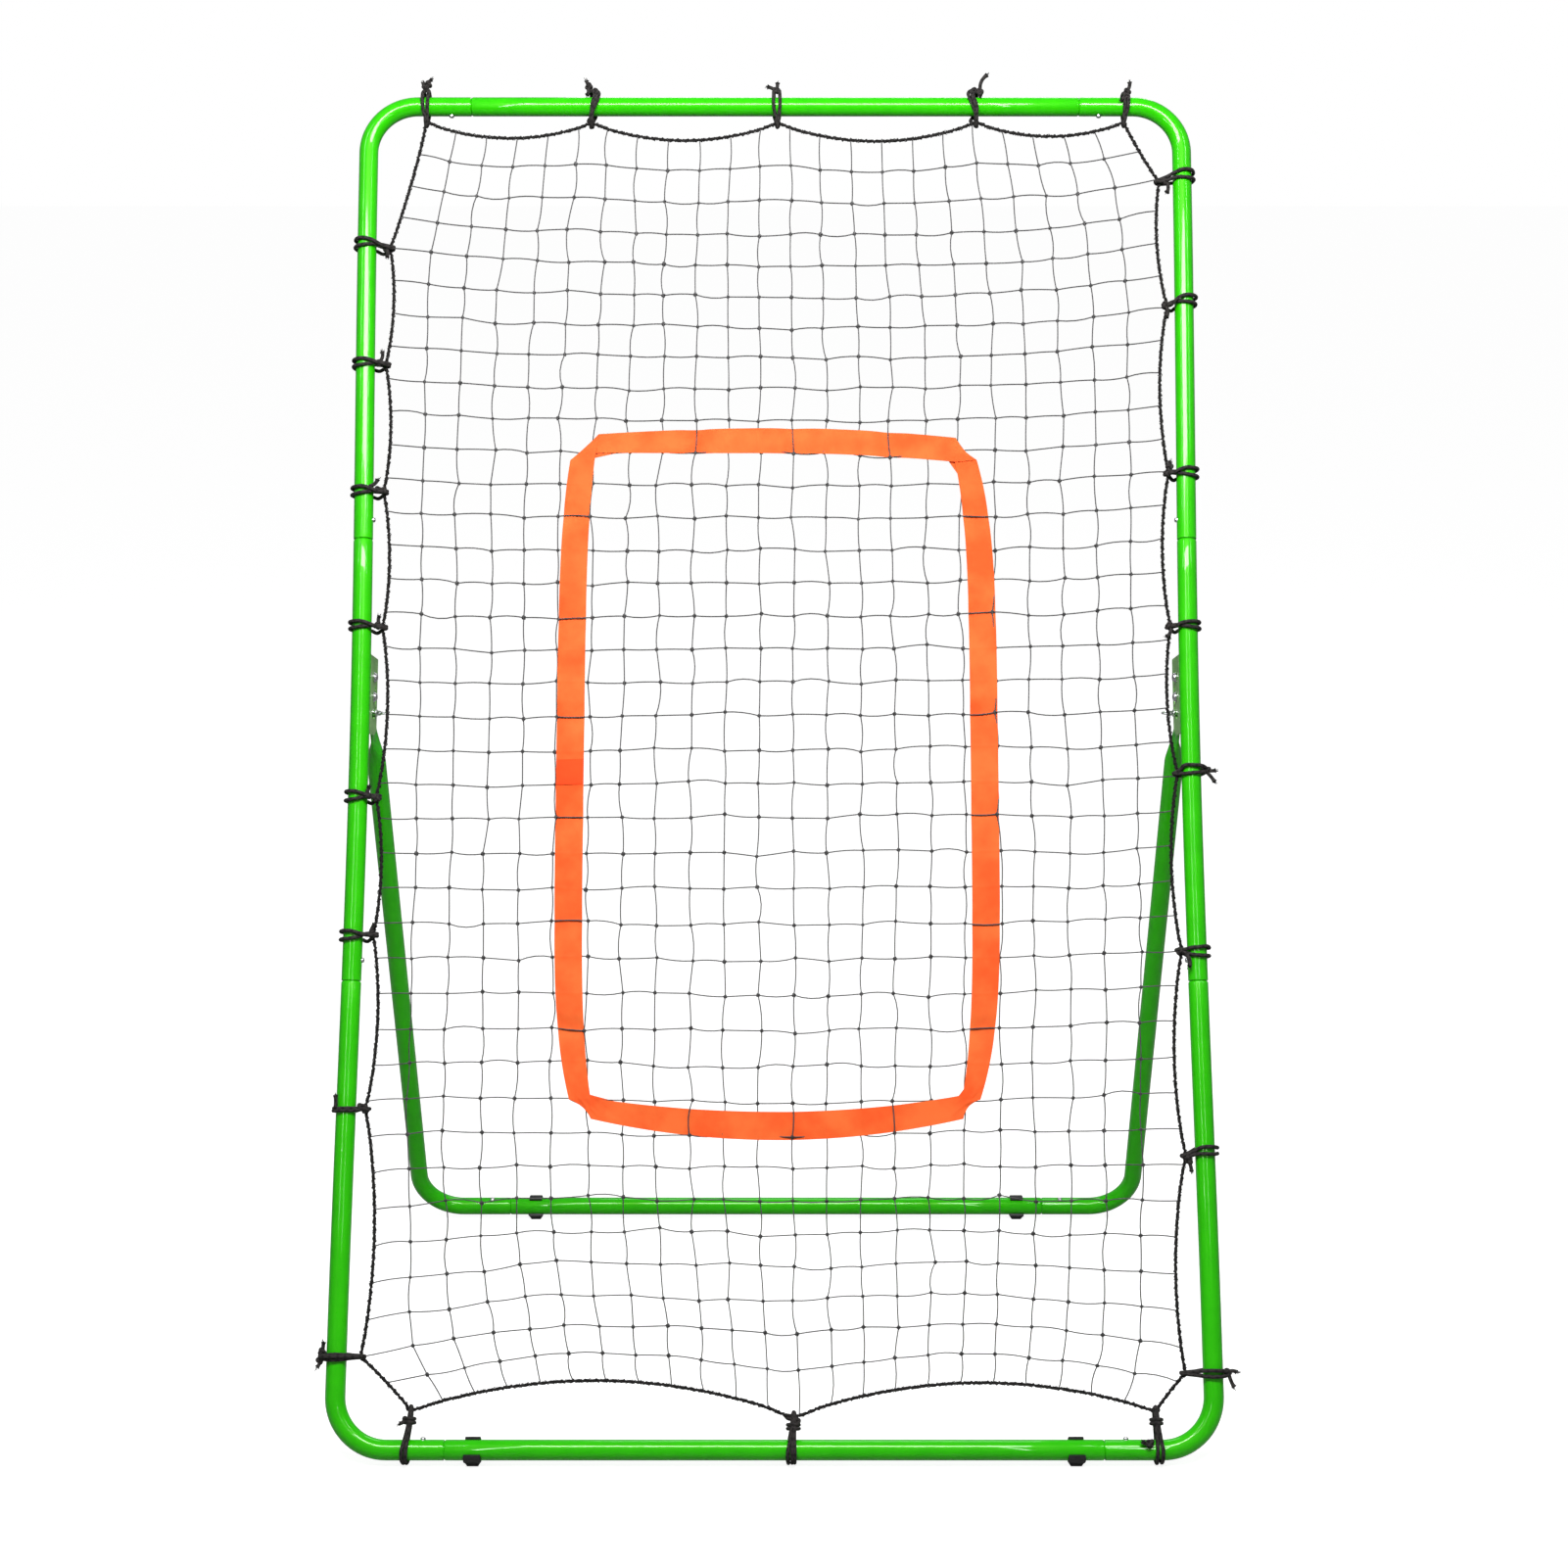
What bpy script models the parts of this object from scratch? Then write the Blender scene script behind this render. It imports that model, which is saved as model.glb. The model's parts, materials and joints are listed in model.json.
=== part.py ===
"""A pitch back rebounder: a leaning tube frame with a laced net, held up by a folding rear leg.

The front frame is modelled flat in its own plane: x to the right, y up along the frame, z
towards the thrower. An empty leans that plane back. The rear leg is modelled the same way about
its hinge, and a second empty opens it. Units are metres.
"""

import math

import bmesh
import bpy
from mathutils import Matrix, Vector

# Front frame, measured between tube centre lines
FRAME_WIDTH = 1.043
FRAME_HEIGHT = 1.682
FRAME_LEAN = math.radians(24.5)
SIDE_BOW = 0.008          # the laced net pulls each long side in by this much at mid height
BEND_RADIUS = 0.062

# Tube
TUBE_RADIUS = 0.012
TUBE_WALL = 0.0011
SWAGED_RADIUS = 0.0104    # the necked end that slides into the next tube
SWAGED_LENGTH = 0.045
SHOULDER_LENGTH = 0.002
TUBE_SIDES = 12
BEND_STEPS = 8

# Tube joints
BAR_JOINT = 0.391         # top and bottom bar joints, either side of the middle
UPPER_JOINT = 0.573       # side joints, in from the top and from the bottom of the frame
LOWER_JOINT = 0.556
REAR_JOINT = 0.382        # rear bar joints
BUTTON_INSET = 0.025      # from a tube joint to its snap button
GAP = 0.0004

# Rear leg, about its hinge
PIVOT_UP = 0.916
PIVOT_BACK = 0.040
LEG_LENGTH = 0.863
LEG_HALF_WIDTH = 0.5085
LEG_BEND_RADIUS = 0.060
TONGUE_HALF_THICKNESS = 0.0015
TONGUE_HALF_WIDTH = 0.0182
TONGUE_FLAT = 0.053       # the flattened end turns round between these two distances
TONGUE_ROUND = 0.098
FOLD_PAST_OPEN = math.radians(14.5)

# Bracket: a channel welded to the side tube, with the leg's tongue between its cheeks
CHEEK_THICKNESS = 0.0025
CHEEK_GAP = 0.004
BRACKET_BACK = 0.072
BRACKET_TOP = 0.048       # above the pivot, at the tube and at the back
BRACKET_TOP_BACK = 0.055
BRACKET_CHAMFER = 0.003
BRACKET_BOTTOM = 0.050
BRACKET_FOOT = 0.022      # depth of the straight bottom edge
BRACKET_SWEEP = 0.048     # radius of the rounded rear corner that the tongue swings past
WEB_BACK = 0.0150
BOLT_RADIUS = 0.003
BOLT_HOLE_RADIUS = 0.0034
TIE_BOLT_UP = 0.0250
PIN_REACH = 0.024         # from the pivot to the lock pin
SLOT_HALF_WIDTH = 0.0036
SLOT_START = math.radians(-4)
SLOT_SPARE = math.radians(2)
ADJUST_HOLES_UP = (0.030, 0.0145, -0.0026)
ADJUST_HOLES_BACK = 0.058
WASHER_THICKNESS = 0.0012
SIDE_CLEARANCE = 0.0003
WASHER_RADIUS = 0.0066
SPACER_RADIUS = 0.0045
NUT_RADIUS = 0.0057
NUT_HEIGHT = 0.0048
HEAD_RADIUS = 0.0054
HEAD_HEIGHT = 0.0036
THREAD_PAST = 0.0070      # bolt end past the washer
PIN_HEAD_RADIUS = 0.0048
PIN_HEAD_HEIGHT = 0.0030
PIN_PAST = 0.0062         # pin tip past the bracket
EYE_SIZE = 0.0060         # tab on the pin's head that the pull ring goes through
EYE_THICKNESS = 0.0022
EYE_HOLE_RADIUS = 0.0013
RING_RADIUS = 0.0052
RING_WIRE = 0.0008

# Feet: a clip that is open to the front and to the top, with a flat pad under it
FOOT_WIDTH = 0.021
FOOT_WALL = 0.0031
FOOT_TOP = math.radians(10.5)     # ends of the clip, from the direction up the frame or leg
FOOT_UNDER = math.radians(-249)
PAD_FRONT = -0.0070
PAD_BACK = 0.0090
BAR_HEIGHT = 0.018        # from the floor to the middle of the lower bars
FRONT_FOOT_X = 0.357
REAR_FOOT_X = 0.345

# Snap buttons and their springs
BUTTON_RADIUS = 0.0031
BUTTON_HOLE_RADIUS = 0.0036
BUTTON_FOOT = 0.0035
BUTTON_TOP = 0.0150
LEAF_WIDTH = 0.005
HOLE_TURN = math.radians(7)   # keeps the hole's corners off the tube's long edges

LEAF_OUTLINE = (          # (towards the tube joint, outward) from the button's axis
    (-0.0040, 0.0044), (0.0260, 0.0014), (0.0280, 0.0002), (0.0260, -0.0010), (-0.0040, -0.0044),
    (-0.0040, -0.0036), (0.0255, -0.0004), (0.0265, 0.0002), (0.0255, 0.0008), (-0.0040, 0.0036),
)

# Net, border cord and ties, where (along, reach) is the tie's place along its tube and the
# distance from the tube's centre line in to the border cord
BORDER_RADIUS = 0.003
CORD_RADIUS = 0.0024
BORDER_SIDES = 6
TIE_SIDES = 4
NET_THICKNESS = 0.0016
TOP_TIES = ((-0.448, 0.022), (-0.236, 0.023), (0.003, 0.023), (0.258, 0.022), (0.448, 0.022))
RIGHT_TIES = (
    (1.580, 0.030), (1.414, 0.022), (1.194, 0.022), (0.997, 0.022),
    (0.812, 0.017), (0.592, 0.019), (0.345, 0.024), (0.089, 0.033),
)
BOTTOM_TIES = ((0.452, 0.045), (0.023, 0.039), (-0.431, 0.046))
LEFT_TIES = (
    (0.108, 0.029), (0.401, 0.024), (0.612, 0.025), (0.782, 0.023),
    (0.996, 0.026), (1.170, 0.025), (1.336, 0.026), (1.491, 0.030),
)
TOP_SAG = 0.095           # sag of a span of border cord over the length of the span
BOTTOM_SAG = 0.083
SIDE_SAG = 0.045
CORNER_SAG = 0.015
SPAN_STEPS = 4

# Target tape
TARGET_CENTRE = (0.003, 0.812)
TARGET_HALF_WIDTH = 0.252
TARGET_SIDE_BULGE = 0.020
TARGET_TOP = 0.428
TARGET_TOP_BULGE = 0.012
TARGET_BOTTOM = 0.424
TARGET_BOTTOM_BULGE = 0.027
TARGET_CORNER = 0.030
TAPE_WIDTH = 0.034
TAPE_THICKNESS = 0.0008

LEG_DROP = PIVOT_UP * math.cos(FRAME_LEAN) - PIVOT_BACK * math.sin(FRAME_LEAN)
LEG_TILT = math.acos(LEG_DROP / LEG_LENGTH)
LEG_OPENING = FRAME_LEAN + LEG_TILT
PIVOT_Y = PIVOT_UP * math.sin(FRAME_LEAN) + PIVOT_BACK * math.cos(FRAME_LEAN)
REAR_BAR_Y = PIVOT_Y + LEG_LENGTH * math.sin(LEG_TILT)
# The top tube is the front frame's rearmost edge, the rear foot clip is the leg's.
REAR_EDGE = max(FRAME_HEIGHT * math.sin(FRAME_LEAN) + TUBE_RADIUS, REAR_BAR_Y + TUBE_RADIUS + FOOT_WALL)
FRONT_Y = -0.5 * (REAR_EDGE - TUBE_RADIUS)

SIDES = {"left": -1, "right": 1}
SIDEWAYS = (0, math.pi / 2, 0)


def start_scene():
    for old in list(bpy.data.objects):
        bpy.data.objects.remove(old)
    for name in ("pitch_back_rebounder", "cutters"):
        bpy.context.scene.collection.children.link(bpy.data.collections.new(name))


def material(name, colour, roughness, metallic):
    made = bpy.data.materials.new(name)
    made.use_nodes = True
    made.diffuse_color = (*colour, 1)
    shader = made.node_tree.nodes["Principled BSDF"]
    shader.inputs["Base Color"].default_value = (*colour, 1)
    shader.inputs["Roughness"].default_value = roughness
    shader.inputs["Metallic"].default_value = metallic
    return made


def make_materials():
    return {
        "green_paint": material("green_paint", (0.045, 0.56, 0.015), 0.25, 0.0),
        "pale_paint": material("pale_paint", (0.24, 0.55, 0.16), 0.3, 0.0),
        "zinc": material("zinc", (0.62, 0.63, 0.65), 0.3, 1.0),
        "black_plastic": material("black_plastic", (0.012, 0.012, 0.013), 0.5, 0.0),
        "net_cord": material("net_cord", (0.025, 0.023, 0.023), 0.8, 0.0),
        "orange_tape": material("orange_tape", (0.95, 0.17, 0.03), 0.6, 0.0),
    }


def put(obj, parent, paint):
    """Adds a finished piece to the model, under the empty that it moves with."""
    for old in obj.users_collection:
        old.objects.unlink(obj)
    bpy.data.collections["pitch_back_rebounder"].objects.link(obj)
    obj.parent = parent
    obj.data.materials.clear()
    obj.data.materials.append(paint)
    return obj


def as_cutter(obj, parent):
    for old in obj.users_collection:
        old.objects.unlink(obj)
    bpy.data.collections["cutters"].objects.link(obj)
    obj.parent = parent
    obj.hide_render = True
    obj.display_type = "WIRE"
    return obj


def cut(obj, *cutters):
    for cutter in cutters:
        boolean = obj.modifiers.new(f"cut_{cutter.name}", "BOOLEAN")
        boolean.operation = "DIFFERENCE"
        boolean.solver = "EXACT"
        boolean.object = cutter
    return obj


def unite(obj, other):
    boolean = obj.modifiers.new(f"join_{other.name}", "BOOLEAN")
    boolean.operation = "UNION"
    boolean.solver = "EXACT"
    boolean.object = other
    return obj


def linked(name, data):
    obj = bpy.data.objects.new(name, data)
    bpy.context.scene.collection.objects.link(obj)
    return obj


def rod(name, points, radii, sides=TUBE_SIDES, cyclic=False):
    """A round bar along the points, as a curve object. radii has one radius for each point."""
    curve = bpy.data.curves.new(name, "CURVE")
    curve.dimensions = "3D"
    curve.bevel_depth = TUBE_RADIUS
    curve.bevel_resolution = sides // 2 - 2
    curve.use_fill_caps = not cyclic
    add_spline(curve, points, [radius / TUBE_RADIUS for radius in radii], cyclic)
    return linked(name, curve)


def add_spline(curve, points, scales, cyclic):
    spline = curve.splines.new("POLY")
    spline.points.add(len(points) - 1)
    spline.use_cyclic_u = cyclic
    for point, place, scale in zip(spline.points, points, scales):
        point.co = (*place, 1)
        point.radius = scale


def plate(name, outlines, thickness):
    """A flat plate in the x-y plane, as a curve object. A second outline inside makes a hole."""
    curve = bpy.data.curves.new(name, "CURVE")
    curve.dimensions = "2D"
    curve.fill_mode = "BOTH"
    curve.extrude = thickness / 2
    for outline in outlines:
        add_spline(curve, [(x, y, 0) for x, y in outline], [1] * len(outline), True)
    return linked(name, curve)


def solid(curve_object):
    """Turns a curve object into a mesh object with welded caps."""
    bpy.context.view_layer.update()
    graph = bpy.context.evaluated_depsgraph_get()
    mesh = bpy.data.meshes.new_from_object(curve_object.evaluated_get(graph))
    shape = bmesh.new()
    shape.from_mesh(mesh)
    bmesh.ops.remove_doubles(shape, verts=shape.verts, dist=0.00001)
    bmesh.ops.recalc_face_normals(shape, faces=shape.faces)
    shape.to_mesh(mesh)
    shape.free()
    name = curve_object.name
    place = curve_object.matrix_world.copy()
    bpy.data.objects.remove(curve_object)
    obj = linked(name, mesh)
    obj.matrix_world = place
    return obj


def smooth(obj):
    obj.data.shade_smooth()
    obj.data.set_sharp_from_angle(angle=math.radians(40))
    return obj


def cylinder(name, radius, low, high, sides=12):
    """A closed cylinder about the z axis, from low to high."""
    shape = bmesh.new()
    bmesh.ops.create_cone(
        shape, cap_ends=True, segments=sides, radius1=radius, radius2=radius, depth=high - low,
        matrix=Matrix.Translation((0, 0, (low + high) / 2)),
    )
    mesh = bpy.data.meshes.new(name)
    shape.to_mesh(mesh)
    shape.free()
    return linked(name, mesh)


def box(name, low, high):
    shape = bmesh.new()
    size = Vector(high) - Vector(low)
    middle = (Vector(high) + Vector(low)) / 2
    bmesh.ops.create_cube(shape, size=1, matrix=Matrix.Translation(middle) @ Matrix.Diagonal((*size, 1)))
    mesh = bpy.data.meshes.new(name)
    shape.to_mesh(mesh)
    shape.free()
    return linked(name, mesh)


# Tubes -----------------------------------------------------------------------------------------


def side_x(up):
    """Half the distance between the side tubes' centre lines, at this height up the frame."""
    return FRAME_WIDTH / 2 - SIDE_BOW * math.sin(math.pi * up / FRAME_HEIGHT) ** 2


def steps(low, high, count):
    return [low + (high - low) * index / count for index in range(count + 1)]


def hollow_tube(name, points, radii):
    """A tube with a bore that runs out of both ends."""
    tube = smooth(solid(rod(name, points, radii)))
    first = points[0] + (points[0] - points[1]).normalized() * SHOULDER_LENGTH
    last = points[-1] + (points[-1] - points[-2]).normalized() * SHOULDER_LENGTH
    inner = [radius - TUBE_WALL for radius in radii]
    bore = solid(rod(f"{name}_bore", [first, *points[1:-1], last], inner))
    return tube, bore


def swaged_end(end):
    """Distances and radii of a tube's last stretch, whose neck slides up into the next tube."""
    neck = end - GAP
    return [neck - SHOULDER_LENGTH, neck, end + SWAGED_LENGTH], [TUBE_RADIUS] + [SWAGED_RADIUS] * 2


def side_place(side, up):
    return Vector((side * side_x(up), up, 0))


def corner_tube(name, side, level):
    """A corner tube, from its bar joint round the bend to its side joint. The lower corners end
    in a neck, and the upper ones are plain."""
    end = FRAME_HEIGHT if level > 0 else 0
    centre = Vector((FRAME_WIDTH / 2 - BEND_RADIUS, end - level * BEND_RADIUS, 0))
    path = [Vector((side * BAR_JOINT, end, 0))]
    for angle in steps(0, math.pi / 2, BEND_STEPS):
        place = centre + BEND_RADIUS * Vector((math.sin(angle), level * math.cos(angle), 0))
        path.append(Vector((side * place.x, place.y, 0)))
    radii = [TUBE_RADIUS] * len(path)
    bend_end = end - level * BEND_RADIUS
    if level > 0:
        ups = steps(bend_end, FRAME_HEIGHT - UPPER_JOINT, 4)[1:]
        radii += [TUBE_RADIUS] * len(ups)
    else:
        neck, neck_radii = swaged_end(LOWER_JOINT)
        ups = steps(bend_end, neck[0], 4)[1:-1] + neck
        radii += [TUBE_RADIUS] * 3 + neck_radii
    return hollow_tube(name, path + [side_place(side, up) for up in ups], radii)


def cross_bar(name, up, half_length):
    """A straight bar with a necked end at both ends."""
    neck, neck_radii = swaged_end(half_length)
    places = [-along for along in reversed(neck)] + neck
    radii = neck_radii[::-1] + neck_radii
    return hollow_tube(name, [Vector((along, up, 0)) for along in places], radii)


def side_tube(name, side):
    """The middle length of a side: plain at the bottom and necked at the top."""
    neck, neck_radii = swaged_end(FRAME_HEIGHT - UPPER_JOINT)
    ups = steps(LOWER_JOINT, neck[0], 6)[:-1] + neck
    radii = [TUBE_RADIUS] * 6 + neck_radii
    return hollow_tube(name, [side_place(side, up) for up in ups], radii)


# Snap buttons ----------------------------------------------------------------------------------


def button_places():
    """Each snap button's name, place on its tube's centre line, outward direction and the
    direction from the button to its tube joint."""
    places = []
    for word, side in SIDES.items():
        to_joint = Vector((-side, 0, 0))
        bar = Vector((side * (BAR_JOINT + BUTTON_INSET), 0, 0))
        places.append((f"top_{word}", bar + Vector((0, FRAME_HEIGHT, 0)), Vector((0, -1, 0)), to_joint))
        places.append((f"bottom_{word}", bar, Vector((0, 1, 0)), to_joint))
        for level, joint in (("upper", FRAME_HEIGHT - UPPER_JOINT), ("lower", LOWER_JOINT)):
            place = side_place(side, joint + BUTTON_INSET)
            places.append((f"{level}_{word}", place, Vector((-side, 0, 0)), Vector((0, -1, 0))))
    return places


def rear_button_places():
    places = []
    for word, side in SIDES.items():
        place = Vector((side * (REAR_JOINT + BUTTON_INSET), -LEG_LENGTH, 0))
        places.append((f"rear_{word}", place, Vector((0, 1, 0)), Vector((-side, 0, 0))))
    return places


def button_frame(place, outward, to_joint):
    """Turns local z outward and local x towards the tube joint."""
    across = outward.cross(to_joint)
    turn = Matrix((to_joint, across, outward)).transposed().to_4x4()
    return Matrix.Translation(place) @ turn


def button_hole(name, place, outward, to_joint):
    hole = cylinder(f"{name}_hole", BUTTON_HOLE_RADIUS, BUTTON_FOOT, BUTTON_TOP)
    hole.matrix_world = button_frame(place, outward, to_joint) @ Matrix.Rotation(HOLE_TURN, 4, "Z")
    return hole


def snap_button(name, place, outward, to_joint, empty):
    """A steel button on the end of its V shaped leaf spring, as one piece. Its origin is on the
    tube's centre line, on the button's own axis. The lower arm stands clear of the tube's wall by
    the button's travel."""
    button = cylinder(f"snap_button_{name}", BUTTON_RADIUS, BUTTON_FOOT, BUTTON_TOP)
    edge = button.modifiers.new("rounded_top", "BEVEL")
    edge.width = 0.0010
    edge.segments = 2
    edge.limit_method = "ANGLE"
    leaf = solid(plate(f"leaf_{name}", [LEAF_OUTLINE], LEAF_WIDTH))
    frame = button_frame(place, outward, to_joint)
    button.matrix_world = frame
    leaf.matrix_world = frame @ Matrix.Rotation(math.pi / 2, 4, "X")
    as_cutter(leaf, empty)
    unite(button, leaf)
    return smooth(button)


# Rear leg --------------------------------------------------------------------------------------


def leg_section(reach):
    """Half thickness, half width and squareness of the leg's section, this far from the hinge."""
    if reach < TONGUE_FLAT:
        width = math.sqrt(max(TONGUE_HALF_WIDTH**2 - min(reach, 0) ** 2, 0))
        return TONGUE_HALF_THICKNESS, width, 4
    share = min((reach - TONGUE_FLAT) / (TONGUE_ROUND - TONGUE_FLAT), 1)
    share = share * share * (3 - 2 * share)
    thickness = TONGUE_HALF_THICKNESS + (TUBE_RADIUS - TONGUE_HALF_THICKNESS) * share
    width = TONGUE_HALF_WIDTH + (TUBE_RADIUS - TONGUE_HALF_WIDTH) * share
    return thickness, width, 4 - 2 * share


def rounded_ring(shape, centre, outward, thickness, width, squareness):
    ring = []
    for index in range(TUBE_SIDES):
        angle = 2 * math.pi * index / TUBE_SIDES
        power = 2 / squareness
        across = math.copysign(abs(math.cos(angle)) ** power, math.cos(angle))
        along = math.copysign(abs(math.sin(angle)) ** power, math.sin(angle))
        place = centre + outward * (thickness * across) + Vector((0, 0, width * along))
        ring.append(shape.verts.new(place))
    return ring


def leg_tube(name, side):
    """A leg: a flat tongue at the hinge that turns into round tube, bent in at the floor."""
    shape = bmesh.new()
    rings = []
    end_circle = [-TONGUE_HALF_WIDTH * math.cos(angle) for angle in steps(0.15, math.pi / 2, 4)]
    reaches = end_circle + steps(TONGUE_FLAT, TONGUE_ROUND, 5)
    for reach in reaches:
        centre = Vector((side * LEG_HALF_WIDTH, -reach, 0))
        rings.append(rounded_ring(shape, centre, Vector((side, 0, 0)), *leg_section(reach)))
    bend = leg_bend(side)
    for centre, outward in bend:
        rings.append(rounded_ring(shape, centre, outward, TUBE_RADIUS, TUBE_RADIUS, 2))
    for one, two in zip(rings, rings[1:]):
        for index in range(TUBE_SIDES):
            after = (index + 1) % TUBE_SIDES
            shape.faces.new((one[index], one[after], two[after], two[index]))
    shape.faces.new(rings[0])
    shape.faces.new(reversed(rings[-1]))
    bmesh.ops.recalc_face_normals(shape, faces=shape.faces)
    mesh = bpy.data.meshes.new(name)
    shape.to_mesh(mesh)
    shape.free()
    leg = smooth(linked(name, mesh))

    past = bend[-1][0] + Vector((-side * SHOULDER_LENGTH, 0, 0))
    blind_end = Vector((side * LEG_HALF_WIDTH, -TONGUE_ROUND - 0.004, 0))
    line = [blind_end, *(centre for centre, _ in bend[:-1]), past]
    bore = solid(rod(f"{name}_bore", line, [TUBE_RADIUS - TUBE_WALL] * len(line)))
    return leg, bore


def leg_bend(side):
    """The leg's centre line from the end of its straight run to its tube joint, each point with
    the direction away from the inside of the bend."""
    centre = Vector((LEG_HALF_WIDTH - LEG_BEND_RADIUS, LEG_BEND_RADIUS - LEG_LENGTH, 0))
    line = []
    for angle in steps(0, math.pi / 2, BEND_STEPS):
        outward = Vector((math.cos(angle), -math.sin(angle), 0))
        line.append((centre + outward * LEG_BEND_RADIUS, outward))
    line.append((Vector((REAR_JOINT, -LEG_LENGTH, 0)), Vector((0, -1, 0))))
    flip = Vector((side, 1, 1))
    return [(place * flip, outward * flip) for place, outward in line]


# Bracket and its hardware ----------------------------------------------------------------------


def bracket_outline():
    """The cheek seen from the side, as (back, up) from the tube's centre line at the pivot."""
    arc = []
    corner_back = BRACKET_BACK - PIVOT_BACK
    last = -math.asin(math.sqrt(BRACKET_SWEEP**2 - corner_back**2) / BRACKET_SWEEP)
    for angle in steps(math.radians(-95), last, 5):
        back = PIVOT_BACK + BRACKET_SWEEP * math.cos(angle)
        arc.append((back, BRACKET_SWEEP * math.sin(angle)))
    return [
        (0.0, -BRACKET_BOTTOM),
        (BRACKET_FOOT, -BRACKET_BOTTOM),
        *arc,
        (BRACKET_BACK, BRACKET_TOP_BACK - BRACKET_CHAMFER),
        (BRACKET_BACK - BRACKET_CHAMFER, BRACKET_TOP_BACK),
        (0.0, BRACKET_TOP),
    ]


def lock_slot_outline():
    """A band about the pivot that the lock pin follows, from folded to fully open."""
    start = SLOT_START
    end = LEG_OPENING + FOLD_PAST_OPEN + SLOT_SPARE
    outline = []
    for angle in steps(start, end, 8):
        outline.append(pin_place(angle, PIN_REACH + SLOT_HALF_WIDTH))
    for turn in steps(0, math.pi, 4)[1:-1]:
        outline.append(slot_end(end, turn))
    for angle in steps(end, start, 8):
        outline.append(pin_place(angle, PIN_REACH - SLOT_HALF_WIDTH))
    for turn in steps(math.pi, 2 * math.pi, 4)[1:-1]:
        outline.append(slot_end(start, turn))
    return outline


def pin_place(angle, reach):
    return (PIVOT_BACK + reach * math.sin(angle), -reach * math.cos(angle))


def slot_end(angle, turn):
    """A point on the round end of the slot, turned on from its outer edge."""
    back, up = pin_place(angle, PIN_REACH)
    outward = Vector((math.sin(angle), -math.cos(angle)))
    onward = Vector((math.cos(angle), math.sin(angle)))
    place = outward * math.cos(turn) + onward * math.sin(turn)
    return (back + SLOT_HALF_WIDTH * place.x, up + SLOT_HALF_WIDTH * place.y)


def cross_hole(name, x, up, back, radius=BOLT_HOLE_RADIUS, half_length=0.02):
    hole = cylinder(name, radius, -half_length, half_length)
    hole.location = (x, up, -back)
    hole.rotation_euler = SIDEWAYS
    return hole


def bracket(word, side, empty):
    x = side * LEG_HALF_WIDTH
    outer = CHEEK_GAP + 2 * CHEEK_THICKNESS
    shell = plate(f"bracket_{word}", [bracket_outline()], outer)
    shell.rotation_euler = SIDEWAYS
    shell.location = (x, PIVOT_UP, 0)
    shell = put(solid(shell), empty, PAINTS["pale_paint"])
    half_gap = CHEEK_GAP / 2
    high = PIVOT_UP + BRACKET_TOP_BACK + 0.01
    low = PIVOT_UP - BRACKET_BOTTOM - 0.01
    channel = box(
        f"channel_{word}", (x - half_gap, low, -BRACKET_BACK - 0.01), (x + half_gap, high, -WEB_BACK)
    )
    saddle = solid(rod(
        f"saddle_{word}", [side_place(side, low), side_place(side, high)], [TUBE_RADIUS + GAP] * 2
    ))
    slot = plate(f"lock_slot_{word}", [lock_slot_outline()], 0.03)
    slot.rotation_euler = SIDEWAYS
    slot.location = (x, PIVOT_UP, 0)
    cutters = [channel, saddle, solid(slot)]
    cutters.append(cross_hole(f"pivot_hole_{word}", x, PIVOT_UP, PIVOT_BACK))
    cutters.append(cross_hole(f"tie_hole_{word}", x, PIVOT_UP + TIE_BOLT_UP, PIVOT_BACK))
    for number, up in enumerate(ADJUST_HOLES_UP):
        name = f"adjust_hole_{word}_{number}"
        cutters.append(cross_hole(name, x, PIVOT_UP + up, ADJUST_HOLES_BACK, BOLT_RADIUS))
    for cutter in cutters:
        as_cutter(cutter, empty)
    return cut(shell, *cutters)


def turned(name, profile, side, sides=12):
    """A solid turned about x from (out, radius) points, which run from the inner end to the
    outer end. Out is away from the middle of the frame."""
    mesh = bpy.data.meshes.new(name)
    points = [(radius, 0, out) for out, radius in profile]
    points = [(0, 0, profile[0][0]), *points, (0, 0, profile[-1][0])]
    mesh.from_pydata(points[::-1], [(index, index + 1) for index in range(len(points) - 1)], [])
    obj = linked(name, mesh)
    screw = obj.modifiers.new("turn", "SCREW")
    screw.steps = sides
    screw.render_steps = sides
    screw.use_merge_vertices = True
    screw.merge_threshold = 0.00001
    obj.rotation_euler = (0, side * math.pi / 2, 0)
    return obj


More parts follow.
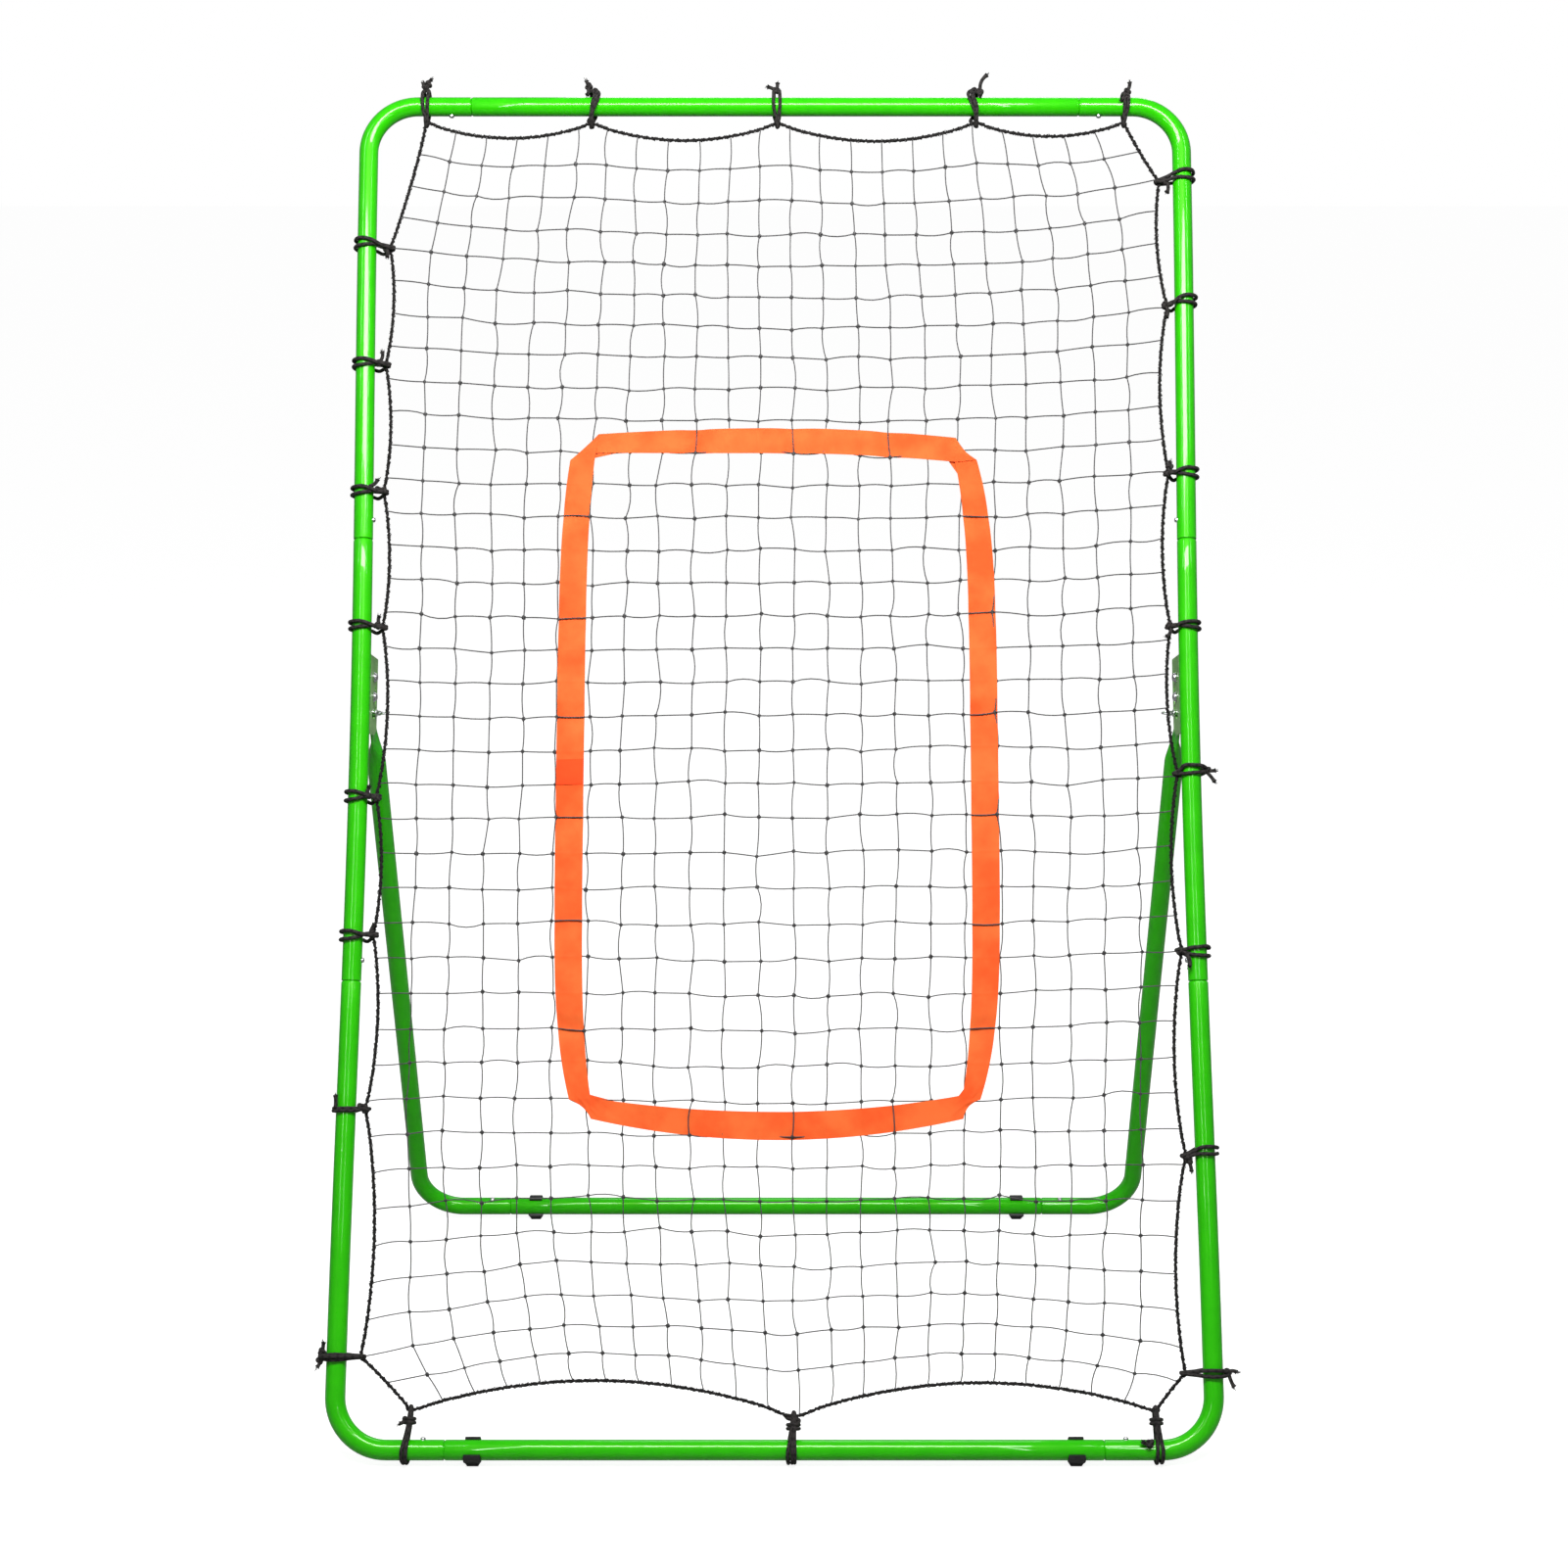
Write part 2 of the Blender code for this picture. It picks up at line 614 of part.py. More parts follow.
def hardware(word, side, empty):
    """Both bolts of one bracket, with their nuts and the spacer between the cheeks."""
    x = side * LEG_HALF_WIDTH
    face = CHEEK_GAP / 2 + CHEEK_THICKNESS + SIDE_CLEARANCE
    seat = face + WASHER_THICKNESS
    for job, up in (("pivot", 0), ("bracket", TIE_BOLT_UP)):
        place = (x, PIVOT_UP + up, -PIVOT_BACK)
        end = seat + THREAD_PAST
        profile = [
            (-seat - HEAD_HEIGHT, HEAD_RADIUS - 0.0020), (-seat - HEAD_HEIGHT + 0.0008, HEAD_RADIUS - 0.0006),
            (-seat, HEAD_RADIUS), (-seat, WASHER_RADIUS), (-face, WASHER_RADIUS), (-face, BOLT_RADIUS),
            (end - 0.0008, BOLT_RADIUS), (end, BOLT_RADIUS - 0.0008),
        ]
        bolt = turned(f"{job}_bolt_{word}", profile, side)
        bolt.location = place
        put(smooth(bolt), empty, PAINTS["zinc"])
        outward = (0, side * math.pi / 2, 0)
        nut = cylinder(f"{job}_nut_{word}", NUT_RADIUS, seat - 0.0003, seat + NUT_HEIGHT, 6)
        washer = cylinder(f"{job}_washer_{word}", WASHER_RADIUS, face, seat)
        thread = cylinder(f"{job}_thread_{word}", BOLT_HOLE_RADIUS, 0, 0.02)
        for piece in (nut, washer, thread):
            piece.location = place
            piece.rotation_euler = outward
        put(nut, empty, PAINTS["zinc"])
        unite(nut, as_cutter(washer, empty))
        cut(nut, as_cutter(thread, empty))
    half = CHEEK_GAP / 2 - SIDE_CLEARANCE
    spacer = cylinder(f"bracket_spacer_{word}", SPACER_RADIUS, -half, half)
    spacer.location = (x, PIVOT_UP + TIE_BOLT_UP, -PIVOT_BACK)
    spacer.rotation_euler = SIDEWAYS
    put(spacer, empty, PAINTS["zinc"])
    cut(spacer, bpy.data.objects[f"tie_hole_{word}"])


def lock_pin(word, side, empty):
    """The quick-release pin through both cheeks and the tongue, with its pull ring. The ring and
    the tab that it goes through lie level while the leg is open."""
    place = Vector((side * LEG_HALF_WIDTH, -PIN_REACH, 0))
    inward = Vector((-side, 0, 0))
    level = Matrix.Rotation(math.pi / 2 - LEG_TILT, 4, "X")
    face = CHEEK_GAP / 2 + CHEEK_THICKNESS + SIDE_CLEARANCE
    head = face + PIN_HEAD_HEIGHT
    tip = face + PIN_PAST
    profile = [
        (-head, PIN_HEAD_RADIUS - 0.0012), (-head + 0.0006, PIN_HEAD_RADIUS),
        (-face - 0.0004, PIN_HEAD_RADIUS), (-face, PIN_HEAD_RADIUS - 0.0006),
        (-face, BOLT_RADIUS), (tip - 0.0012, BOLT_RADIUS), (tip, BOLT_RADIUS - 0.0014),
    ]
    pin = turned(f"lock_pin_{word}", profile, side)
    pin.location = place
    put(smooth(pin), empty, PAINTS["zinc"])
    half = EYE_SIZE / 2
    eye = box(f"eye_{word}", (-half, -EYE_THICKNESS / 2, -half), (half, EYE_THICKNESS / 2, half))
    eye.matrix_world = Matrix.Translation(place + inward * (head + half - 0.0008)) @ level
    unite(pin, as_cutter(eye, empty))
    hole_place = place + inward * (head + half)
    eye_hole = cylinder(f"eye_hole_{word}", EYE_HOLE_RADIUS, -0.01, 0.01)
    eye_hole.matrix_world = Matrix.Translation(hole_place) @ level @ Matrix.Rotation(math.pi / 2, 4, "X")
    cut(pin, as_cutter(eye_hole, empty))

    through = level @ Vector((0, 1, 0))
    centre = hole_place + inward * RING_RADIUS - place
    loop = [
        centre + RING_RADIUS * (math.sin(angle) * through - math.cos(angle) * inward)
        for angle in steps(0, 2 * math.pi, 16)[:-1]
    ]
    ring = rod(f"pull_ring_{word}", loop, [RING_WIRE] * len(loop), 6, cyclic=True)
    ring.location = place
    put(ring, empty, PAINTS["zinc"])


# Feet ------------------------------------------------------------------------------------------


def foot_outline(up_angle):
    """A clip round a lower bar with a flat pad under it, as (back, up). up_angle is the direction
    up the frame or the leg that the clip is on."""
    inner = TUBE_RADIUS + GAP
    outer = inner + FOOT_WALL
    top = up_angle + FOOT_TOP
    under = up_angle + FOOT_UNDER
    pad_start = -math.acos(PAD_FRONT / outer)
    pad_end = -math.acos(PAD_BACK / outer)
    outline = [(inner * math.cos(angle), inner * math.sin(angle)) for angle in steps(top, under, 14)]
    outline += [(outer * math.cos(angle), outer * math.sin(angle)) for angle in steps(under, pad_start, 4)]
    outline += [(PAD_FRONT, -BAR_HEIGHT), (PAD_BACK, -BAR_HEIGHT)]
    outline += [(outer * math.cos(angle), outer * math.sin(angle)) for angle in steps(pad_end, top, 8)]
    return outline


def foot(name, x, up, up_angle, empty):
    """The foot stands level, so it undoes its empty's turn about x."""
    clip = plate(name, [foot_outline(up_angle)], FOOT_WIDTH)
    upright = Matrix.Rotation(-up_angle, 4, "X") @ Matrix.Rotation(math.pi / 2, 4, "Z")
    level = upright @ Matrix.Rotation(math.pi / 2, 4, "X")
    clip.matrix_world = Matrix.Translation((x, up, 0)) @ level
    put(clip, empty, PAINTS["black_plastic"])


# Net -------------------------------------------------------------------------------------------


def tie_places():
    """Each group of ties as (place on the tube's centre line, inward direction, reach)."""
    return {
        "top": [(Vector((x, FRAME_HEIGHT, 0)), Vector((0, -1, 0)), reach) for x, reach in TOP_TIES],
        "right": [(side_place(1, up), Vector((-1, 0, 0)), reach) for up, reach in RIGHT_TIES],
        "bottom": [(Vector((x, 0, 0)), Vector((0, 1, 0)), reach) for x, reach in BOTTOM_TIES],
        "left": [(side_place(-1, up), Vector((1, 0, 0)), reach) for up, reach in LEFT_TIES],
    }


def border_line():
    """The border cord's closed centre line, clockwise from the top left tie, sagging in from
    tie to tie."""
    sag_of = {"top": TOP_SAG, "right": SIDE_SAG, "bottom": BOTTOM_SAG, "left": SIDE_SAG}
    anchors = []
    for group, ties in tie_places().items():
        anchors += [(group, place + inward * reach) for place, inward, reach in ties]
    line = []
    for (group, start), (next_group, end) in zip(anchors, anchors[1:] + anchors[:1]):
        sag = sag_of[group] if group == next_group else CORNER_SAG
        span = end - start
        inward = Vector((span.y, -span.x, 0))
        for share in steps(0, 1, SPAN_STEPS)[:-1]:
            line.append(start + span * share + inward * (sag * 4 * share * (1 - share)))
    return line


def inset(line, distance):
    """A closed clockwise line moved in by this distance."""
    moved = []
    for before, place, after in zip(line[-1:] + line[:-1], line, line[1:] + line[:1]):
        along = (after - before).normalized()
        moved.append(place + Vector((along.y, -along.x, 0)) * distance)
    return moved


def tie_loop(place, inward, reach):
    """A cord loop round the tube and the border cord, in the plane across the tube."""
    near = TUBE_RADIUS + 2 * GAP + CORD_RADIUS
    far = BORDER_RADIUS + CORD_RADIUS / 2
    tangent = math.acos((near - far) / reach)
    front = Vector((0, 0, 1))
    loop = []
    for angle in steps(tangent, 2 * math.pi - tangent, 7):
        loop.append(place + near * (inward * math.cos(angle) + front * math.sin(angle)))
    for angle in steps(-tangent, tangent, 2):
        loop.append(place + inward * reach + far * (inward * math.cos(angle) + front * math.sin(angle)))
    return loop


def make_net(empty):
    line = border_line()
    border = put(
        solid(rod("net_border_and_ties", line, [BORDER_RADIUS] * len(line), BORDER_SIDES, cyclic=True)),
        empty, PAINTS["net_cord"],
    )
    loops = [tie_loop(*tie) for ties in tie_places().values() for tie in ties]
    scale = CORD_RADIUS / TUBE_RADIUS
    ties = rod("tie_loops", loops[0], [CORD_RADIUS] * len(loops[0]), TIE_SIDES, cyclic=True)
    for loop in loops[1:]:
        add_spline(ties.data, loop, [scale] * len(loop), True)
    unite(border, as_cutter(solid(ties), empty))
    inner = inset(line, BORDER_RADIUS + 2 * CORD_RADIUS + GAP)
    net = plate("net", [[(point.x, point.y) for point in inner]], NET_THICKNESS)
    put(net, empty, PAINTS["net_cord"])


def target_outline(margin):
    """The target's outline, this far inside its outer edge, with cut corners."""
    centre_x, centre_y = TARGET_CENTRE
    half_width = TARGET_HALF_WIDTH - margin
    top = TARGET_TOP - margin
    bottom = TARGET_BOTTOM - margin
    cut_off = max(TARGET_CORNER - 0.6 * margin, 0)
    outline = []
    for share in steps(-1, 1, 6):
        x = share * (half_width - cut_off)
        outline.append((centre_x + x, centre_y + top + TARGET_TOP_BULGE * (1 - share * share)))
    for share in steps(1, -1, 8):
        reach = top if share > 0 else bottom
        x = half_width + TARGET_SIDE_BULGE * (1 - share * share)
        outline.append((centre_x + x, centre_y + share * (reach - cut_off)))
    for share in steps(1, -1, 6):
        x = share * (half_width - cut_off)
        outline.append((centre_x + x, centre_y - bottom - TARGET_BOTTOM_BULGE * (1 - share * share)))
    for share in steps(-1, 1, 8):
        reach = top if share > 0 else bottom
        x = half_width + TARGET_SIDE_BULGE * (1 - share * share)
        outline.append((centre_x - x, centre_y + share * (reach - cut_off)))
    return outline


def make_target(empty):
    tape = plate("target_tape", [target_outline(0), target_outline(TAPE_WIDTH)], TAPE_THICKNESS)
    tape.location = (0, 0, NET_THICKNESS / 2 + GAP + TAPE_THICKNESS / 2)
    put(tape, empty, PAINTS["orange_tape"])


# Assembly --------------------------------------------------------------------------------------


def add_buttons(places, tubes, empty):
    """Snap buttons, and the holes for them through the two tubes that each one locks.

    tubes names those two tubes for each button."""
    for name, place, outward, to_joint in places:
        hole = as_cutter(button_hole(name, place, outward, to_joint), empty)
        for tube in tubes[name]:
            cut(bpy.data.objects[tube], hole)
        put(snap_button(name, place, outward, to_joint, empty), empty, PAINTS["zinc"])


def put_tube(tube_and_bore, empty):
    tube, bore = tube_and_bore
    put(tube, empty, PAINTS["green_paint"])
    cut(tube, as_cutter(bore, empty))
    return tube


def make_front_frame(empty):
    put_tube(cross_bar("top_bar", FRAME_HEIGHT, BAR_JOINT), empty)
    put_tube(cross_bar("bottom_bar", 0, BAR_JOINT), empty)
    tubes = {}
    for word, side in SIDES.items():
        for level_word, level in (("top", 1), ("bottom", -1)):
            name = f"corner_tube_{level_word}_{word}"
            put_tube(corner_tube(name, side, level), empty)
            tubes[f"{level_word}_{word}"] = (name, f"{level_word}_bar")
        put_tube(side_tube(f"side_tube_{word}", side), empty)
        tubes[f"upper_{word}"] = (f"corner_tube_top_{word}", f"side_tube_{word}")
        tubes[f"lower_{word}"] = (f"corner_tube_bottom_{word}", f"side_tube_{word}")
        bracket(word, side, empty)
        hardware(word, side, empty)
        foot(f"foot_front_{word}", side * FRONT_FOOT_X, 0, math.pi / 2 - FRAME_LEAN, empty)
    add_buttons(button_places(), tubes, empty)
    make_net(empty)
    make_target(empty)


def make_rear_leg(empty):
    put_tube(cross_bar("rear_bar", -LEG_LENGTH, REAR_JOINT), empty)
    tubes = {}
    for word, side in SIDES.items():
        name = f"rear_leg_{word}"
        leg = put_tube(leg_tube(name, side), empty)
        tubes[f"rear_{word}"] = (name, "rear_bar")
        x = side * LEG_HALF_WIDTH
        cut(leg, as_cutter(cross_hole(f"tongue_pivot_hole_{word}", x, 0, 0), empty))
        cut(leg, as_cutter(cross_hole(f"tongue_pin_hole_{word}", x, -PIN_REACH, 0), empty))
        lock_pin(word, side, empty)
        foot(f"foot_rear_{word}", side * REAR_FOOT_X, -LEG_LENGTH, math.pi / 2 + LEG_TILT, empty)
    add_buttons(rear_button_places(), tubes, empty)


start_scene()
PAINTS = make_materials()
front_frame_plane = linked("front_frame_plane", None)
rear_leg_hinge = linked("rear_leg_hinge", None)
make_front_frame(front_frame_plane)
make_rear_leg(rear_leg_hinge)
front_frame_plane.location = (0, FRONT_Y, BAR_HEIGHT)
front_frame_plane.rotation_euler = (math.pi / 2 - FRAME_LEAN, 0, 0)
rear_leg_hinge.parent = front_frame_plane
rear_leg_hinge.location = (0, PIVOT_UP, -PIVOT_BACK)
rear_leg_hinge.rotation_euler = (LEG_OPENING, 0, 0)
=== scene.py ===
"""Looks of the pitch back rebounder: painted tubes, hinge hardware, the knotted net with its
border cord, elastic ties and target tape, and the studio round it. Units are metres."""

import json
import math

import bmesh
import bpy
import numpy as np
from mathutils import Matrix, Vector


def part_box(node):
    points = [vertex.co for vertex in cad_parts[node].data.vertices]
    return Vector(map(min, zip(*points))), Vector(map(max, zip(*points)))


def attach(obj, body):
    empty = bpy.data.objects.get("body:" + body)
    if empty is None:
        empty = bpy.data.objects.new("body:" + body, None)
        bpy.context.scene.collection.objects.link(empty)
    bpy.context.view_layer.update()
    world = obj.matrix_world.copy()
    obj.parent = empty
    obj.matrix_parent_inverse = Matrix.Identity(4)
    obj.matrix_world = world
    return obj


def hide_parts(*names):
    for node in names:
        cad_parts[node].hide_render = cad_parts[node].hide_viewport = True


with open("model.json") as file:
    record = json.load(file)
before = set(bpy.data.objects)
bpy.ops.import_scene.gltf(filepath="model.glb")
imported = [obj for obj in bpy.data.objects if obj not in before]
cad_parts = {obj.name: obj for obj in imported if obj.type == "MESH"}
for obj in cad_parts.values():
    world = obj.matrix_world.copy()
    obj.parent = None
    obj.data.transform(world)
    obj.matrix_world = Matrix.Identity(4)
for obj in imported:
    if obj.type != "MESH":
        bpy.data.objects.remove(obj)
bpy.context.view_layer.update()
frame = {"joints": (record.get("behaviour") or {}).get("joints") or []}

# Dimensions that the CAD model's boxes don't give
SIDE_BOW = 0.008
BEND_RADIUS = 0.062
TUBE_RADIUS = 0.012
TUBE_WALL = 0.0011
NECK_RADIUS = 0.0104
NECK_LENGTH = 0.045
BAR_JOINT = 0.391
UPPER_JOINT = 0.573                 # side joints, in from the top and from the bottom of the frame
LOWER_JOINT = 0.556
REAR_JOINT = 0.382
BUTTON_INSET = 0.025
JOINT_GAP = 0.0005
LEG_BEND_RADIUS = 0.060
TONGUE_HALF_THICKNESS = 0.0015
TONGUE_HALF_WIDTH = 0.0182
TONGUE_FLAT = 0.053
TONGUE_ROUND = 0.098
PIN_REACH = 0.024
HOLE_RADIUS = 0.0034                # holes for the pivot, the tie bolt and the lock pin
BORDER_RADIUS = 0.003
CORD_RADIUS = 0.0023
STRING_RADIUS = 0.0008

SIDES = {"left": -1, "right": 1}
SOFT_ANGLE = math.radians(50)       # edges sharper than these stay crisp
HARD_ANGLE = math.radians(35)
RNG = np.random.default_rng(7)


# Places, taken from the CAD model ----------------------------------------------------------------


def middle_of(node):
    low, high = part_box(node)
    return (low + high) / 2


def flat(vector):
    """The vector without its sideways part."""
    return Vector((0, vector.y, vector.z))


def basis(origin, *axes):
    """World matrix of a space with this origin and these three axes."""
    return Matrix.Translation(origin) @ Matrix(axes).transposed().to_4x4()


class Plane:
    """A flat working space: x to the right, y up along it, z towards the thrower."""

    def __init__(self, origin, up):
        self.origin = Vector(origin)
        self.up = Vector(up).normalized()
        self.right = Vector((1, 0, 0))
        self.front = self.right.cross(self.up)

    def at(self, x, y, z=0.0):
        """The world place of a place in this space."""
        return self.origin + self.right * x + self.up * y + self.front * z

    def many(self, points):
        """World places of an array of points in this space."""
        axes = np.array([self.right, self.up, self.front])
        return np.asarray(points, float) @ axes + np.array(self.origin)

    def matrix(self):
        """World matrix of this space."""
        return basis(self.origin, self.right, self.up, self.front)


BOTTOM = flat(middle_of("bottom_bar"))
TOP = flat(middle_of("top_bar"))
FRONT = Plane(BOTTOM, TOP - BOTTOM)
FRAME_HEIGHT = (TOP - BOTTOM).length
HALF_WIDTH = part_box("corner_tube_top_right")[1].x - TUBE_RADIUS
HINGE = Vector(next(j for j in frame["joints"] if j["name"] == "rear_leg_fold")["pos_m"])
REAR = flat(middle_of("rear_bar"))
LEG = Plane(HINGE, HINGE - REAR)
LEG_LENGTH = (HINGE - REAR).length
LEG_HALF_WIDTH = middle_of("bracket_right").x
PIVOT_UP = (HINGE - BOTTOM).dot(FRONT.up)
PIVOT_BACK = -(HINGE - BOTTOM).dot(FRONT.front)


def side_x(up):
    """How far a side tube's centre line is from the middle, at this height up the frame."""
    return HALF_WIDTH - SIDE_BOW * math.sin(math.pi * up / FRAME_HEIGHT) ** 2


# Mesh making -------------------------------------------------------------------------------------


def linked(name, data):
    """A new object in the scene."""
    obj = bpy.data.objects.new(name, data)
    bpy.context.scene.collection.objects.link(obj)
    return obj


def lengths_along(path):
    """Distance along a path at each of its points."""
    return np.append(0, np.cumsum(np.linalg.norm(np.diff(path, axis=0), axis=1)))


def around(count):
    """Angles of evenly spaced steps round a circle."""
    return 2 * np.pi * np.arange(count) / count


def rounds(axes, sides):
    """Unit circles in the planes of two vectors at each point of a path, (points, sides, 3)."""
    angle = around(sides)[None, :, None]
    return np.cos(angle) * axes[0][:, None] + np.sin(angle) * axes[1][:, None]


class Build:
    """Collects rings of points into one mesh, with a UV map in metres along and turns round."""

    def __init__(self):
        self.points = []
        self.faces = []
        self.uvs = []
        self.count = 0

    def rings(self, rings, along, closed=False, turns=1.0):
        """Joins rings, (n, sides, 3), in a row or closed on themselves. along is each ring's
        distance, and turns is how much of the map one way round takes."""
        n, sides, _ = rings.shape
        base = self.count
        self.points.append(rings.reshape(-1, 3))
        self.count += n * sides
        ends = n if closed else n - 1
        ring = np.arange(ends)[:, None] * sides + base
        spoke = np.arange(sides)[None, :]
        next_ring = (np.arange(ends)[:, None] + 1) % n * sides + base
        next_spoke = (spoke + 1) % sides
        quads = np.stack([ring + spoke, ring + next_spoke, next_ring + next_spoke, next_ring + spoke], -1)
        self.faces += quads.reshape(-1, 4).tolist()
        after = np.append(along[1:], along[-1] + along[1] - along[0])[:ends]
        before = np.asarray(along)[:ends]
        u0 = np.repeat(before, sides)
        u1 = np.repeat(after, sides)
        v0 = np.tile(np.arange(sides) / sides, ends) * turns
        v1 = np.tile((np.arange(sides) + 1) / sides, ends) * turns
        self.uvs.append(np.stack([u0, v0, u0, v1, u1, v1, u1, v0], -1).reshape(-1, 2))
        if not closed:
            self.faces.append([base + k for k in reversed(range(sides))])
            self.faces.append([base + (n - 1) * sides + k for k in range(sides)])
            self.uvs.append(np.zeros((2 * sides, 2)))

    def tube(self, path, radius, sides, closed=False):
        """A round tube along a path, with one radius or one for each point."""
        path = np.asarray(path, float)
        radii = np.broadcast_to(np.asarray(radius, float), (len(path),))
        across = rounds(transport(path, closed), sides)
        self.rings(path[:, None] + radii[:, None, None] * across, lengths_along(path), closed)

    def copies(self, points, faces, placed):
        """Many copies of one shape. placed is (n, len(points), 3), each copy's own points."""
        n = len(placed)
        self.points.append(placed.reshape(-1, 3))
        shift = self.count + np.arange(n) * len(points)
        for face in faces:
            self.faces += (np.array(face)[None] + shift[:, None]).tolist()
            self.uvs.append(np.zeros((len(face) * n, 2)))
        self.count += n * len(points)

    def make(self, name, space=None):
        """The mesh as a new object, moved to the world from the space that it was drawn in."""
        mesh = bpy.data.meshes.new(name)
        points = np.concatenate(self.points)
        if space is not None:
            points = space.many(points)
        mesh.from_pydata(points.tolist(), [], self.faces)
        layer = mesh.uv_layers.new(name="UVMap")
        layer.data.foreach_set("uv", np.concatenate(self.uvs).astype(np.float32).ravel())
        mesh.shade_smooth()
        mesh.set_sharp_from_angle(angle=SOFT_ANGLE)
        return linked(name, mesh)


def transport(path, closed=False):
    """Two unit vectors across the path at each point, turning as little as they can."""
    tangents = np.gradient(path, axis=0)
    if closed:
        tangents = np.roll(path, -1, 0) - np.roll(path, 1, 0)
    tangents /= np.linalg.norm(tangents, axis=1)[:, None]
    start = np.array([0.0, 0.0, 1.0])
    if abs(tangents[0] @ start) > 0.9:
        start = np.array([0.0, 1.0, 0.0])
    normal = start - tangents[0] * (start @ tangents[0])
    normals = []
    for tangent in tangents:
        normal = normal - tangent * (normal @ tangent)
        normal = normal / np.linalg.norm(normal)
        normals.append(normal)
    normals = np.array(normals)
    return normals, np.cross(tangents, normals)


def steps(low, high, count):
    """count + 1 evenly spaced numbers."""
    return [low + (high - low) * index / count for index in range(count + 1)]


def smooth_path(points, per_span, closed=False):
    """A Catmull-Rom curve through the points."""
    points = np.asarray(points, float)
    if closed:
        padded = np.vstack([points[-1:], points, points[:2]])
    else:
        padded = np.vstack([2 * points[0] - points[1], points, 2 * points[-1] - points[-2]])
    out = []
    share = np.arange(per_span)[:, None] / per_span
    for a, b, c, d in zip(padded, padded[1:], padded[2:], padded[3:]):
        out.append(0.5 * (
            2 * b + (c - a) * share + (2 * a - 5 * b + 4 * c - d) * share**2
            + (3 * b - a - 3 * c + d) * share**3
        ))
    out = np.concatenate(out)
    return out if closed else np.vstack([out, points[-1]])


# Materials ---------------------------------------------------------------------------------------


class Nodes:
    """A material's node tree, built a node at a time."""

    def __init__(self, name, colour, roughness, metallic=0.0, **sockets):
        self.material = bpy.data.materials.new(name)
        self.material.use_nodes = True
        self.tree = self.material.node_tree
        self.shader = self.tree.nodes["Principled BSDF"]
        self.shader.inputs["Base Color"].default_value = (*colour, 1)
        self.shader.inputs["Roughness"].default_value = roughness
        self.shader.inputs["Metallic"].default_value = metallic
        for socket, value in sockets.items():
            self.shader.inputs[socket.replace("_", " ")].default_value = value

    def add(self, kind, **settings):
        node = self.tree.nodes.new(kind)
        for name, value in settings.items():
            if name in node.inputs:
                node.inputs[name].default_value = value
            else:
                setattr(node, name, value)
        return node

    def link(self, out, into):
        self.tree.links.new(out, into)

    def noise(self, scale, detail):
        """Noise over the object's own coordinates, in waves a metre."""
        node = self.add("ShaderNodeTexNoise", Scale=scale, Detail=detail)
        self.link(self.add("ShaderNodeTexCoord").outputs["Object"], node.inputs["Vector"])
        return node.outputs["Fac"]

    def wave(self, along, across, direction, distortion=0.0):
        """Stripes over the UV map, with this many waves along and across a piece's length."""
        mapping = self.add("ShaderNodeMapping", Scale=(along, across, 1))
        node = self.add("ShaderNodeTexWave", bands_direction=direction, Scale=1.0, Distortion=distortion)
        self.link(self.add("ShaderNodeUVMap", uv_map="UVMap").outputs["UV"], mapping.inputs["Vector"])
        self.link(mapping.outputs["Vector"], node.inputs["Vector"])
        return node.outputs["Fac"]

    def math(self, operation, one, two):
        node = self.add("ShaderNodeMath", operation=operation)
        for socket, value in zip(node.inputs, (one, two)):
            if isinstance(value, (int, float)):
                socket.default_value = value
            else:
                self.link(value, socket)
        return node.outputs[0]

    def colours(self, factor, dark, light, low=0.3, high=0.7):
        ramp = self.add("ShaderNodeValToRGB")
        ramp.color_ramp.elements[0].position = low
        ramp.color_ramp.elements[0].color = (*dark, 1)
        ramp.color_ramp.elements[1].position = high
        ramp.color_ramp.elements[1].color = (*light, 1)
        self.link(factor, ramp.inputs["Fac"])
        self.link(ramp.outputs["Color"], self.shader.inputs["Base Color"])

    def roughness(self, factor, low, high):
        node = self.add("ShaderNodeMapRange")
        node.inputs["To Min"].default_value = low
        node.inputs["To Max"].default_value = high
        self.link(factor, node.inputs["Value"])
        self.link(node.outputs["Result"], self.shader.inputs["Roughness"])

    def bump(self, height, strength, distance):
        node = self.add("ShaderNodeBump", Strength=strength, Distance=distance)
        self.link(height, node.inputs["Height"])
        self.link(node.outputs["Normal"], self.shader.inputs["Normal"])


def clouded(name, colour, roughness, tones, gloss, grain, metallic=0.0, **sockets):
    """A material whose colour, roughness and relief each follow a noise of their own. tones, gloss
    and grain are its scale and detail, and then what it drives."""
    made = Nodes(name, colour, roughness, metallic, **sockets)
    made.colours(made.noise(*tones[:2]), *tones[2:])
    made.roughness(made.noise(*gloss[:2]), *gloss[2:])
    made.bump(made.noise(*grain[:2]), *grain[2:])
    return made.material


def paint_material(name, dark, light):
    """Glossy powder coat with a faint orange peel."""
    return clouded(
        name, dark, 0.28, (38, 4, dark, light, 0.35, 0.65), (260, 2, 0.24, 0.36), (900, 2, 0.12, 0.0002),
        Coat_Weight=0.55, Coat_Roughness=0.05, Coat_IOR=1.5,
        Specular_IOR_Level=0.30, Specular_Tint=(0.55, 1.0, 0.20, 1.0),
    )


def braid_material():
    """Black elastic cord with a braided cover: two sets of diagonal strands."""
    made = Nodes(
        "braided_elastic", (0.016, 0.014, 0.014), 0.8, Sheen_Weight=0.03, Specular_IOR_Level=0.25
    )
    one, two = (made.wave(way * 70, 1.27, "DIAGONAL") for way in (1, -1))
    strands = made.math("MAXIMUM", one, two)
    made.colours(strands, (0.006, 0.005, 0.005), (0.030, 0.026, 0.025), 0.2, 0.9)
    made.bump(strands, 0.7, 0.0004)
    return made.material


